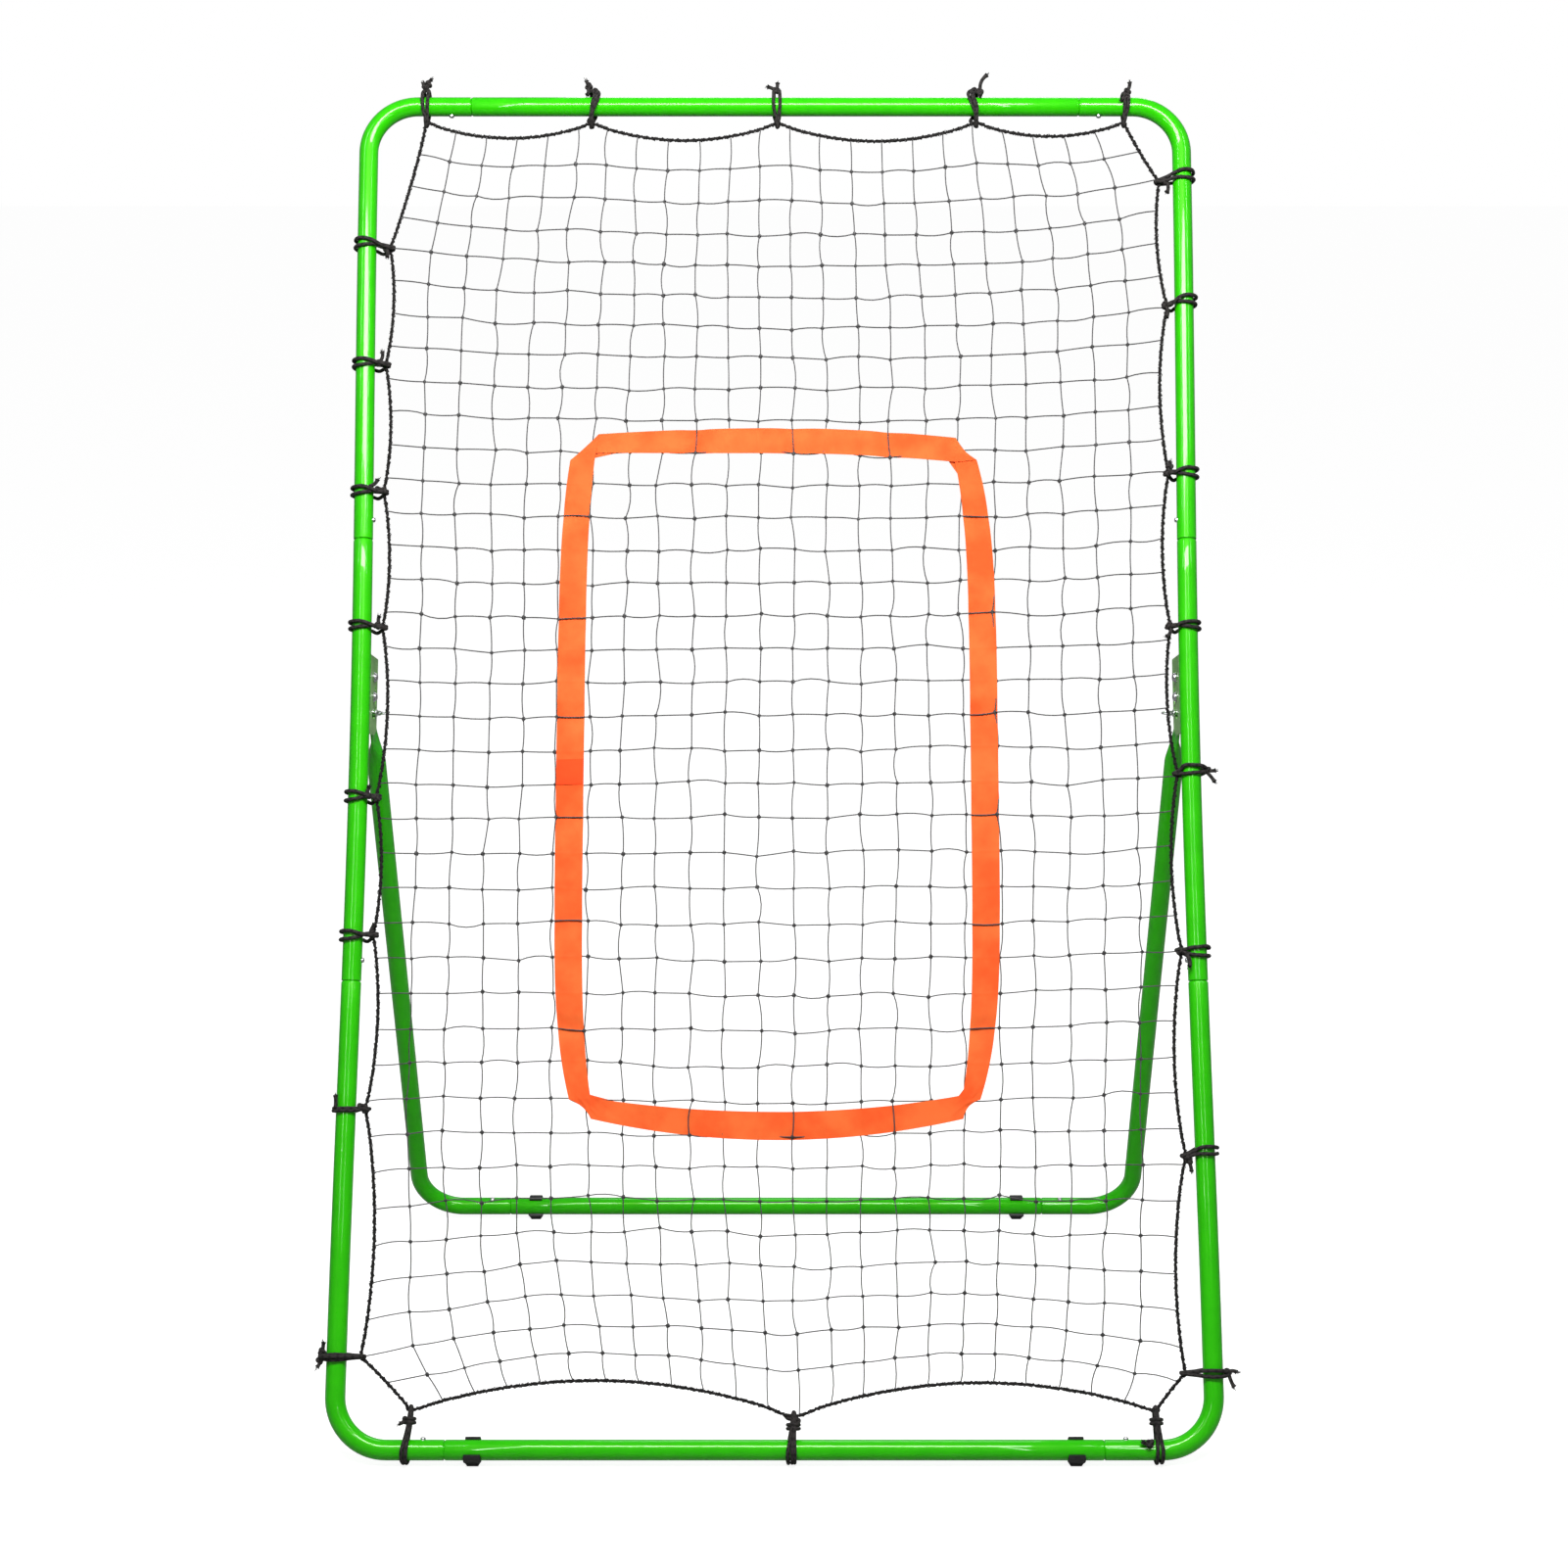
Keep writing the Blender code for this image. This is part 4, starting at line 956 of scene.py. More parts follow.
def nut_profile():
    """A washer and a chamfered hex nut, from the washer's inner edge out, up and down the bore."""
    end = SEAT + NUT_HEIGHT
    bore = BOLT_RADIUS + 0.0001
    return [
        (FACE, bore), (FACE, WASHER_RADIUS - EDGE), (FACE + EDGE, WASHER_RADIUS),
        (SEAT - EDGE, WASHER_RADIUS), (SEAT, WASHER_RADIUS - EDGE),
        (SEAT, NUT_RADIUS * 0.90), (SEAT + EDGE, NUT_RADIUS, HEX),
        (end - 0.0006, NUT_RADIUS, HEX), (end - 0.0002, NUT_RADIUS * 0.93, np.minimum(HEX, 0.96)),
        (end, NUT_RADIUS * 0.82), (end, bore + 0.0005), (end - 0.0005, bore),
    ]


def make_bolts(word, side):
    """The pivot bolt, the tie bolt and its spacer."""
    for job, up in (("pivot", 0), ("bracket", TIE_BOLT_UP)):
        place = (side * LEG_HALF_WIDTH, PIVOT_UP + up, -PIVOT_BACK)
        matrix = placed_frame(FRONT, place, (side, 0, 0), (0, 1, 0))
        bolt, nut = turned(bolt_profile(), matrix), turned(nut_profile(), matrix, closed=True)
        hardware(f"{job}_bolt_{word}_threaded", [bolt], "front_frame", f"{job}_bolt_{word}")
        hardware(f"{job}_nut_{word}_hex", [nut], "front_frame", f"{job}_nut_{word}")
    half = CHEEK_GAP / 2 - SLIT
    profile = [
        (-half, HOLE_RADIUS), (-half, SPACER_RADIUS - EDGE), (-half + EDGE, SPACER_RADIUS),
        (half - EDGE, SPACER_RADIUS), (half, SPACER_RADIUS - EDGE), (half, HOLE_RADIUS),
    ]
    spacer = turned(profile, matrix, closed=True)
    hardware(f"bracket_spacer_{word}_turned", [spacer], "front_frame", f"bracket_spacer_{word}")


def make_lock_pin(word, side):
    """The pin with two detent balls near its tip and a tab for its pull ring, and the split ring."""
    place = (side * LEG_HALF_WIDTH, -PIN_REACH, 0)
    head = FACE + PIN_HEAD_HEIGHT
    profile = [
        (-head, AXIS), (-head, PIN_HEAD_RADIUS - 0.0014), (-head + 0.0003, PIN_HEAD_RADIUS - 0.0005),
        (-head + 0.0008, PIN_HEAD_RADIUS), (-FACE - 0.0005, PIN_HEAD_RADIUS),
        (-FACE, PIN_HEAD_RADIUS - 0.0005), (-FACE, BOLT_RADIUS), (PIN_TIP - 0.0014, BOLT_RADIUS),
        (PIN_TIP - 0.0005, BOLT_RADIUS - 0.0006), (PIN_TIP, BOLT_RADIUS - 0.0014), (PIN_TIP, AXIS),
    ]
    matrix = placed_frame(LEG, place, (side, 0, 0), (0, 1, 0))
    meshes = [turned(profile, matrix)]
    quarter = steps(0, math.pi / 2, 5)
    ball = [(math.sin(a) * BALL_RADIUS, max(math.cos(a) * BALL_RADIUS, AXIS)) for a in quarter]
    on_side = Matrix.Translation((BOLT_RADIUS - BALL_SUNK, 0, 0)) @ Matrix.Rotation(math.pi / 2, 4, "Y")
    for turn in (0, math.pi):
        seat = Matrix.Translation((0, 0, PIN_TIP - BALL_PLACE)) @ Matrix.Rotation(turn, 4, "Z")
        meshes.append(turned(ball, matrix @ seat @ on_side))
    half = EYE_SIZE / 2
    tab = [(-WELD_OVERLAP, -half), (half, -half)]
    tab += [(half + half * math.sin(a), -half * math.cos(a)) for a in steps(0, math.pi, 12)[1:-1]]
    tab += [(half, half), (-WELD_OVERLAP, half)]
    inward = Vector((-side, 0, 0))
    upward = Vector((0, 0, 1))
    seat = LEG.at(*place) + inward * (head - WELD_OVERLAP)
    eye = basis(seat, inward, upward, inward.cross(upward))
    meshes.append(plate([tab, circle(half + WELD_OVERLAP, 0, EYE_HOLE_RADIUS)], EYE_THICKNESS, eye))
    hardware(f"lock_pin_{word}_turned", meshes, f"lock_pin_{word}", f"lock_pin_{word}")
    centre = LEG.at(*place) + inward * (head + half + RING_RADIUS)
    angle = np.array(steps(0.3, 2 * math.pi * RING_TURNS, 90))
    level = RING_WIRE * 0.85 * (angle / (math.pi * RING_TURNS) - 1)
    coil = np.column_stack([RING_RADIUS * np.cos(angle), RING_RADIUS * np.sin(angle), level])
    build = Build()
    build.tube(coil + np.array(centre), RING_WIRE, 8)
    ring = build.make(f"pull_ring_{word}_split")
    finish_piece(ring, f"lock_pin_{word}", ZINC, "hardware", f"pull_ring_{word}")


for WORD, SIDE in SIDES.items():
    make_bracket(WORD, SIDE)
    make_bolts(WORD, SIDE)
    make_lock_pin(WORD, SIDE)


# Snap buttons ------------------------------------------------------------------------------------

BUTTON_RADIUS = 0.0031
BUTTON_FOOT = 0.0035
BUTTON_TOP = 0.0150
BUTTON_DOME = 0.0018
LEAF_HALF_WIDTH = 0.0025
LEAF_HALF_THICKNESS = 0.00035
LEAF_LINE = (                       # (towards the tube joint, outward) from the button's axis
    (-0.0040, 0.0040), (0.0040, 0.0034), (0.0130, 0.0024), (0.0225, 0.0014), (0.0262, 0.0008),
    (0.0272, 0.0002), (0.0262, -0.0004), (0.0225, -0.0010), (0.0130, -0.0022), (-0.0040, -0.0040),
)


def make_button(name, space, place, outward, to_joint):
    """A domed steel button on its V shaped leaf spring, which is bent from strip."""
    matrix = placed_frame(space, place, outward, to_joint)
    profile = [(BUTTON_FOOT, AXIS), (BUTTON_FOOT, BUTTON_RADIUS)]
    profile.append((BUTTON_TOP - BUTTON_DOME, BUTTON_RADIUS))
    for angle in steps(0, math.pi / 2, 8)[1:]:
        reach = BUTTON_RADIUS * math.cos(angle) ** 0.7 if angle < 1.5 else AXIS
        profile.append((BUTTON_TOP - BUTTON_DOME * (1 - math.sin(angle)), reach))
    meshes = [turned(profile, matrix)]
    line = smooth_path(LEAF_LINE, 4)
    tangent = np.gradient(line, axis=0)
    tangent /= np.linalg.norm(tangent, axis=1)[:, None]
    normal = np.column_stack([-tangent[:, 1], tangent[:, 0]]) * LEAF_HALF_THICKNESS
    rings = []
    for point, offset in zip(line, normal):
        rings.append([
            (point[0] + way * offset[0], across * LEAF_HALF_WIDTH, point[1] + way * offset[1])
            for way, across in ((1, -1), (1, 1), (-1, 1), (-1, -1))
        ])
    build = Build()
    build.rings(np.array(rings), np.arange(len(rings)) * 0.002)
    leaf = as_mesh(build.make("leaf"))
    leaf.transform(matrix)
    meshes.append(leaf)
    hardware(f"snap_button_{name}_domed", meshes, f"snap_button_{name}", f"snap_button_{name}")


for BUTTON in button_places():
    make_button(*BUTTON)


# Feet --------------------------------------------------------------------------------------------

FOOT_WIDTH = 0.021
FOOT_TAB_WIDTH = 0.018
FOOT_WALL = 0.0031
FOOT_TOP = math.radians(10.5)
FOOT_UNDER = math.radians(-249)
PAD_FRONT = -0.0070
PAD_BACK = 0.0090
PAD_CORNER = 0.0010
FOOT_PLAY = 0.0003                  # between a foot and its bar
FOOT_EDGE = 0.0012                  # the rounded edges of a foot's two sides
FOOT_NARROWS = (-0.004, 0.012)      # where a foot starts to narrow towards its tab, and over what height
PAD_NARROWS = (-0.0095, 0.0070)     # and towards the floor
PAD_TAPER = 0.0034


def foot_outline(up_angle):
    """A clip round a lower bar with a flat pad under it, as (back, up) from the bar's middle."""
    inner = TUBE_RADIUS + FOOT_PLAY
    outer = inner + FOOT_WALL
    floor = -BOTTOM.z
    top = up_angle + FOOT_TOP
    under = up_angle + FOOT_UNDER
    pad = []
    for end, way in ((PAD_FRONT, 1), (PAD_BACK, -1)):
        corner = [(0, PAD_CORNER), (0.3 * PAD_CORNER, 0.3 * PAD_CORNER), (PAD_CORNER, 0)]
        pad += [(end + way * aside, floor + up) for aside, up in corner[::way]]
    return np.array([
        *arc(inner, top, under, 60), *arc(outer, under, -math.acos(PAD_FRONT / outer), 10), *pad,
        *arc(outer, -math.acos(PAD_BACK / outer), top, 40),
    ])


def arc(radius, start, end, count):
    """Places on a circle about the bar's middle."""
    return [(radius * math.cos(angle), radius * math.sin(angle)) for angle in steps(start, end, count)]


def make_foot(node, body, up_angle):
    """A moulded clip: wide at the pad, narrower at the tab over the bar, with rounded edges."""
    outline = foot_outline(up_angle)
    before, after = np.roll(outline, 1, 0), np.roll(outline, -1, 0)
    tangent = after - before
    tangent /= np.linalg.norm(tangent, axis=1)[:, None]
    inward = np.column_stack([-tangent[:, 1], tangent[:, 0]])
    area = np.sum(outline[:, 0] * after[:, 1] - after[:, 0] * outline[:, 1])
    inward *= math.copysign(1, area)
    height = np.clip((outline[:, 1] - FOOT_NARROWS[0]) / FOOT_NARROWS[1], 0, 1)
    low = np.clip((PAD_NARROWS[0] - outline[:, 1]) / PAD_NARROWS[1], 0, 1)
    half = FOOT_WIDTH / 2 - (FOOT_WIDTH - FOOT_TAB_WIDTH) / 2 * height - PAD_TAPER * low**2
    rings = []
    for way in (-1, 1):
        for angle in steps(0, math.pi / 2, 4)[::-way]:
            line = outline + inward * FOOT_EDGE * (1 - math.sin(angle))
            x = way * (half - FOOT_EDGE * (1 - math.cos(angle)))
            rings.append(np.column_stack([x, line]))
    centre = (middle_of(node).x, *flat(REAR if body == "rear_leg" else BOTTOM).yz)
    build = Build()
    build.rings(np.array(rings) + np.array(centre), np.arange(len(rings)) * 0.002)
    obj = build.make(f"{node}_moulded")
    fix_normals(obj)
    finish_piece(obj, body, PLASTIC, "foot_plastic", node)


for WORD in SIDES:
    make_foot(f"foot_front_{WORD}", "front_frame", math.atan2(FRONT.up.z, FRONT.up.y))
    make_foot(f"foot_rear_{WORD}", "rear_leg", math.atan2(LEG.up.z, LEG.up.y))


# Net ---------------------------------------------------------------------------------------------

# (along, reach): a tie's place along its tube, and how far in it holds the border cord
TOP_TIES = ((-0.448, 0.022), (-0.236, 0.023), (0.003, 0.023), (0.258, 0.022), (0.448, 0.022))
RIGHT_TIES = (
    (1.580, 0.030), (1.414, 0.022), (1.194, 0.022), (0.997, 0.022),
    (0.812, 0.017), (0.592, 0.019), (0.345, 0.024), (0.089, 0.033),
)
BOTTOM_TIES = ((0.452, 0.045), (0.023, 0.039), (-0.431, 0.046))
LEFT_TIES = (
    (0.108, 0.029), (0.401, 0.024), (0.612, 0.025), (0.782, 0.023),
    (0.996, 0.026), (1.170, 0.025), (1.336, 0.026), (1.491, 0.030),
)
SAG = {"top": 0.095, "right": 0.045, "bottom": 0.083, "left": 0.045, "corner": 0.015}
COLUMNS = 23
ROWS = 38
SPAN_STEPS = 12
RELAX_PASSES = 900
PULL_VARIES = 0.08                  # how unequal the four strings' pull on a knot is
WANDER = (0.0040, 0.0035, 0.0040)   # how far knots stray together, sideways, up and to the front
WANDER_SIZE = 4.0                   # in knots
STRAY = 0.0016                      # and how far each strays by itself
FADE_KNOTS = 3                      # knots this near the border stray less
BELLY = 0.006                       # how far the net sinks behind its border, in a quarter wave
BELLY_KNOTS = 11.5                  # of this many knots
LEVEL_KNOTS = 9                     # which ends this far in
ROW_DROP = (0.0030, 0.0072)         # how far the net hangs down in its border, at its foot and its top
LOW_BAND_ROW = 9                    # the rows round this one are pulled down by the target's lower band
LOW_BAND_REACH = 8
LOW_BAND_PULL = 0.0175
TOP_BAND_PULL = 0.0095              # and the upper band pulls one place down, right of its middle
TOP_BAND_PLACE = (0.135, 1.222)
TOP_BAND_SIZE = (0.05, 0.03)
KNOT_STRING = 0.0011                # the string's radius where it is drawn into a knot
KNOT_SIZES = (0.76, 1.02)
LEVEL_TURN = (0.0019, 0.0010, 0.0012)       # reach of a knot's two turns sideways, up and to the front
UPRIGHT_TURN = (0.0009, 0.0020, 0.0013)
STRING_SIDES = 6
THREAD_SIDES = 4
STRING_BOW = (0.0012, 0.0002)       # how far a string strays between two knots, across and to the front


def tie_places():
    """Each tie as (group, place on the tube's centre line, inward direction, reach)."""
    places = [("top", (x, FRAME_HEIGHT), (0, -1), reach) for x, reach in TOP_TIES]
    places += [("right", (side_x(up), up), (-1, 0), reach) for up, reach in RIGHT_TIES]
    places += [("bottom", (x, 0), (0, 1), reach) for x, reach in BOTTOM_TIES]
    places += [("left", (-side_x(up), up), (1, 0), reach) for up, reach in LEFT_TIES]
    return [(group, np.array(place), np.array(inward), reach) for group, place, inward, reach in places]


def border_spans():
    """The border cord's points, sagging from tie to tie, and the ties' groups and places on it."""
    anchors = [(group, place + inward * reach) for group, place, inward, reach in tie_places()]
    points = []
    for (group, start), (next_group, end) in zip(anchors, anchors[1:] + anchors[:1]):
        sag = SAG[group if group == next_group else "corner"]
        span = end - start
        inward = np.array([span[1], -span[0]])
        for share in steps(0, 1, SPAN_STEPS)[:-1]:
            points.append(start + span * share + inward * (sag * 4 * share * (1 - share)))
    return np.array(points), anchors


BORDER, ANCHORS = border_spans()


def border_part(first, last):
    """Border points from tie number first to tie number last, both ends included."""
    count = len(BORDER)
    start, end = first * SPAN_STEPS, last * SPAN_STEPS
    return np.array([BORDER[index % count] for index in range(start, end + 1)])


def spread(line, count):
    """count + 1 points evenly spaced along a line."""
    lengths = lengths_along(line)
    wanted = np.linspace(0, lengths[-1], count + 1)
    return np.stack([np.interp(wanted, lengths, line[:, axis]) for axis in range(line.shape[1])], -1)


def net_knots():
    """Places of the net's knots, (ROWS + 1, COLUMNS + 1, 3), relaxed between the border's sides."""
    top_right = len(TOP_TIES) - 1
    bottom_right = top_right + len(RIGHT_TIES) + 1
    bottom_left = bottom_right + len(BOTTOM_TIES) - 1
    total = len(ANCHORS)
    top = spread(border_part(0, top_right), COLUMNS)
    right = spread(border_part(top_right, bottom_right), ROWS)[::-1]
    bottom = spread(border_part(bottom_right, bottom_left), COLUMNS)[::-1]
    left = spread(border_part(bottom_left, total), ROWS)
    v = np.linspace(0, 1, ROWS + 1)[:, None, None]
    u = np.linspace(0, 1, COLUMNS + 1)[None, :, None]
    grid = np.zeros((ROWS + 1, COLUMNS + 1, 3))
    grid[:, :, :2] = (1 - v) * bottom + v * top + (1 - u) * left[:, None] + u * right[:, None]
    for line, share in ((bottom, 1 - v), (top, v)):
        grid[:, :, :2] -= share * ((1 - u) * line[0] + u * line[-1])
    pull = 1 + PULL_VARIES * (RNG.random((ROWS + 1, COLUMNS + 1, 4)) - 0.5)
    pull = (pull / pull.sum(-1, keepdims=True))[1:-1, 1:-1, :, None]
    for _ in range(RELAX_PASSES):
        neighbours = (grid[:-2, 1:-1], grid[2:, 1:-1], grid[1:-1, :-2], grid[1:-1, 2:])
        grid[1:-1, 1:-1] = sum(pull[:, :, side] * knots for side, knots in enumerate(neighbours))
    row, column = np.indices((ROWS + 1, COLUMNS + 1))
    edge = np.minimum(np.minimum(row, ROWS - row), np.minimum(column, COLUMNS - column))
    fade = np.clip(edge / FADE_KNOTS, 0, 1)[:, :, None]
    grid += fade * smooth_noise(ROWS + 1, COLUMNS + 1, WANDER_SIZE) * WANDER
    grid[:, :, :2] += fade * RNG.normal(0, STRAY, grid[:, :, :2].shape)
    down = np.clip(1 - np.abs(row - LOW_BAND_ROW) / LOW_BAND_REACH, 0, 1)
    middle = np.cos(np.pi * (column / COLUMNS - 0.5)) ** 3
    drop = ROW_DROP[0] + (ROW_DROP[1] - ROW_DROP[0]) * row / ROWS
    aside = (grid[:, :, :2] - TOP_BAND_PLACE) / TOP_BAND_SIZE
    grid[:, :, 1] -= TOP_BAND_PULL * np.exp(-(aside**2).sum(-1))
    grid[:, :, 1] -= fade[:, :, 0] * (drop + LOW_BAND_PULL * down * middle)
    grid[:, :, 2] -= BELLY * np.sin(np.pi / 2 * np.minimum(edge, LEVEL_KNOTS) / BELLY_KNOTS)
    return grid


def smooth_noise(rows, columns, size):
    """Random displacements that change over about size knots, each about -1 to 1."""
    raw = RNG.normal(0, 1, (rows, columns, 3))
    half = int(3 * size)
    kernel = np.exp(-0.5 * (np.arange(-half, half + 1) / size) ** 2)
    kernel /= kernel.sum()
    for axis in (0, 1):
        raw = np.apply_along_axis(
            lambda line: np.convolve(np.pad(line, half, "reflect"), kernel, "valid"), axis, raw
        )
    return raw / np.abs(raw).max()


def string_line(knots):
    """A string through its knots, with a slight lie of its own between them."""
    line = []
    for start, end in zip(knots, knots[1:]):
        span = end - start
        across = np.array([-span[1], span[0], 0]) / np.linalg.norm(span)
        bow = RNG.normal(0, STRING_BOW[0]) * across + np.array([0, 0, RNG.normal(0, STRING_BOW[1])])
        for share in steps(0, 1, 4)[:-1]:
            line.append(start + span * share + bow * (4 * share * (1 - share)))
    line.append(knots[-1])
    return np.array(line)


def make_net():
    """The net's strings and knots. Returns the knots' places."""
    grid = net_knots()
    strings = Build()
    for row in range(1, ROWS):
        strings.tube(string_line(grid[row]), STRING_RADIUS, STRING_SIDES)
    for column in range(1, COLUMNS):
        line = string_line(grid[:, column])
        line[:, 2] += STRING_RADIUS * 0.5
        strings.tube(line, STRING_RADIUS, STRING_SIDES)
    net = strings.make("net_strings", FRONT)
    finish_piece(net, "front_frame", STRING, "net_cord", "net")
    finish_piece(make_knots(grid), "front_frame", STRING, "net_cord")
    return grid


def make_knots(grid):
    """A small sheet bend where each pair of strings crosses: two turns of string pulled tight."""
    angle = around(16)
    level_turn = np.column_stack([np.cos(angle), np.sin(angle), np.sin(angle + 0.6)]) * LEVEL_TURN
    upright_turn = np.column_stack([np.sin(angle), np.cos(angle), np.cos(angle + 0.9)]) * UPRIGHT_TURN
    knot = Build()
    for turn in (level_turn, upright_turn):
        knot.tube(turn, KNOT_STRING, STRING_SIDES, closed=True)
    points = np.concatenate(knot.points)
    centres = grid[1:-1, 1:-1].reshape(-1, 3)
    turn = RNG.uniform(-0.5, 0.5, len(centres))
    size = RNG.uniform(*KNOT_SIZES, len(centres))
    x = np.outer(np.cos(turn), points[:, 0]) - np.outer(np.sin(turn), points[:, 1])
    y = np.outer(np.sin(turn), points[:, 0]) + np.outer(np.cos(turn), points[:, 1])
    placed = np.stack([x, y, np.broadcast_to(points[:, 2], x.shape)], -1) * size[:, None, None]
    build = Build()
    build.copies(points, knot.faces, placed + centres[:, None])
    return build.make("net_knots", FRONT)


GRID = make_net()


# Border cord -------------------------------------------------------------------------------------

BORDER_POINTS = 5200
CORE_TWIST = 0.021                  # how far along the cord its two cores take to turn once
CORE_RADIUS = 0.00130
CORE_SPREAD = 0.00080               # and how far each lies from its middle
WRAPS = ((0.0, 0.0046, 0.0020), (2.1, -0.0067, 0.0022))     # start, pitch and radius of the threads
WRAP_RADIUS = 0.00050
CORE_STRAY = 0.00010
CORE_LUMPS = (0.00025, 431, 173)    # height, and two rates along the cord
WRAP_LUMPS = (0.00035, 610)
WRAP_STRAY = 0.00018
THREAD_LOOPS = 300
LOOP_RADIUS = 0.00034
LOOP_HEIGHTS = (0.0020, 0.0033)
LOOP_WIDTHS = (0.0008, 0.0017)
LOOP_LEANS = (-0.5, 0.5)


def make_border():
    """The border cord: two soft cores laid together, with loose overlock thread wound round them
    and small loops of it standing out."""
    core = smooth_path(np.column_stack([BORDER, np.zeros(len(BORDER))]), 4, closed=True)
    core = core + RNG.normal(0, CORE_STRAY, core.shape)
    build = Build()
    dense = spread(np.vstack([core, core[:1]]), BORDER_POINTS)[:-1]
    one, two = transport(dense, closed=True)
    length = np.arange(len(dense)) * np.linalg.norm(dense[1] - dense[0])
    for start in (0, math.pi):
        angle = start + 2 * np.pi * length / CORE_TWIST
        strand = dense + CORE_SPREAD * (one * np.cos(angle)[:, None] + two * np.sin(angle)[:, None])
        height, quick, slow = CORE_LUMPS
        lumps = CORE_RADIUS + height * np.sin(length * quick + start) * np.sin(length * slow)
        build.tube(strand, lumps, STRING_SIDES, closed=True)
    for start, pitch, radius in WRAPS:
        angle = start + 2 * np.pi * length / pitch
        reach = radius + WRAP_LUMPS[0] * np.sin(length * WRAP_LUMPS[1])
        reach += np.abs(RNG.normal(0, WRAP_STRAY, len(dense)))
        wrap = dense + one * (reach * np.cos(angle))[:, None] + two * (reach * np.sin(angle))[:, None]
        build.tube(wrap, WRAP_RADIUS, THREAD_SIDES, closed=True)
    for place in RNG.integers(8, len(dense) - 8, THREAD_LOOPS):
        add_thread_loop(build, dense[place], dense[place + 5] - dense[place - 5], one[place], two[place])
    obj = build.make("net_border_overlocked", FRONT)
    finish_piece(obj, "front_frame", FUZZ, "net_cord", "net_border_and_ties")


def add_thread_loop(build, centre, along, one, two):
    """A loose turn of overlock thread that stands out from the border cord."""
    along = along / np.linalg.norm(along)
    turn = RNG.uniform(0, 2 * np.pi)
    out = one * math.cos(turn) + two * math.sin(turn)
    height = RNG.uniform(*LOOP_HEIGHTS)
    width = RNG.uniform(*LOOP_WIDTHS)
    lean = RNG.uniform(*LOOP_LEANS)
    loop = []
    for angle in steps(-0.35 * math.pi, 1.35 * math.pi, 9):
        rise = height * (0.45 + 0.55 * math.sin(angle))
        loop.append(centre + out * rise + along * (width * math.cos(angle) + lean * rise))
    build.tube(loop, LOOP_RADIUS, THREAD_SIDES)


make_border()


# Ties --------------------------------------------------------------------------------------------

MM = 0.001
NEAR = TUBE_RADIUS + CORD_RADIUS + 0.0002       # a strand's distance from the middle of its tube
FAR = BORDER_RADIUS + CORD_RADIUS * 0.7         # and from the middle of the border cord

# How far each of a strand's twelve stations lies along the tube, over its spacing there
EYE = (-0.25, -0.20, 0.32, 0.85, 1.0, 1.0, 1.0, 0.95, 0.8, 0.5, 0.35, 0.3)
LOOP = (0.30, 0.42, 0.72, 0.95, 1.0, 0.85, 1.0, 0.95, 0.72, 0.45, 0.32, 0.0)
PINCHED = (0.30, 0.55, 0.90, 1.0, 0.75, 0.30, 0.75, 1.0, 0.90, 0.55, 0.32, 0.0)

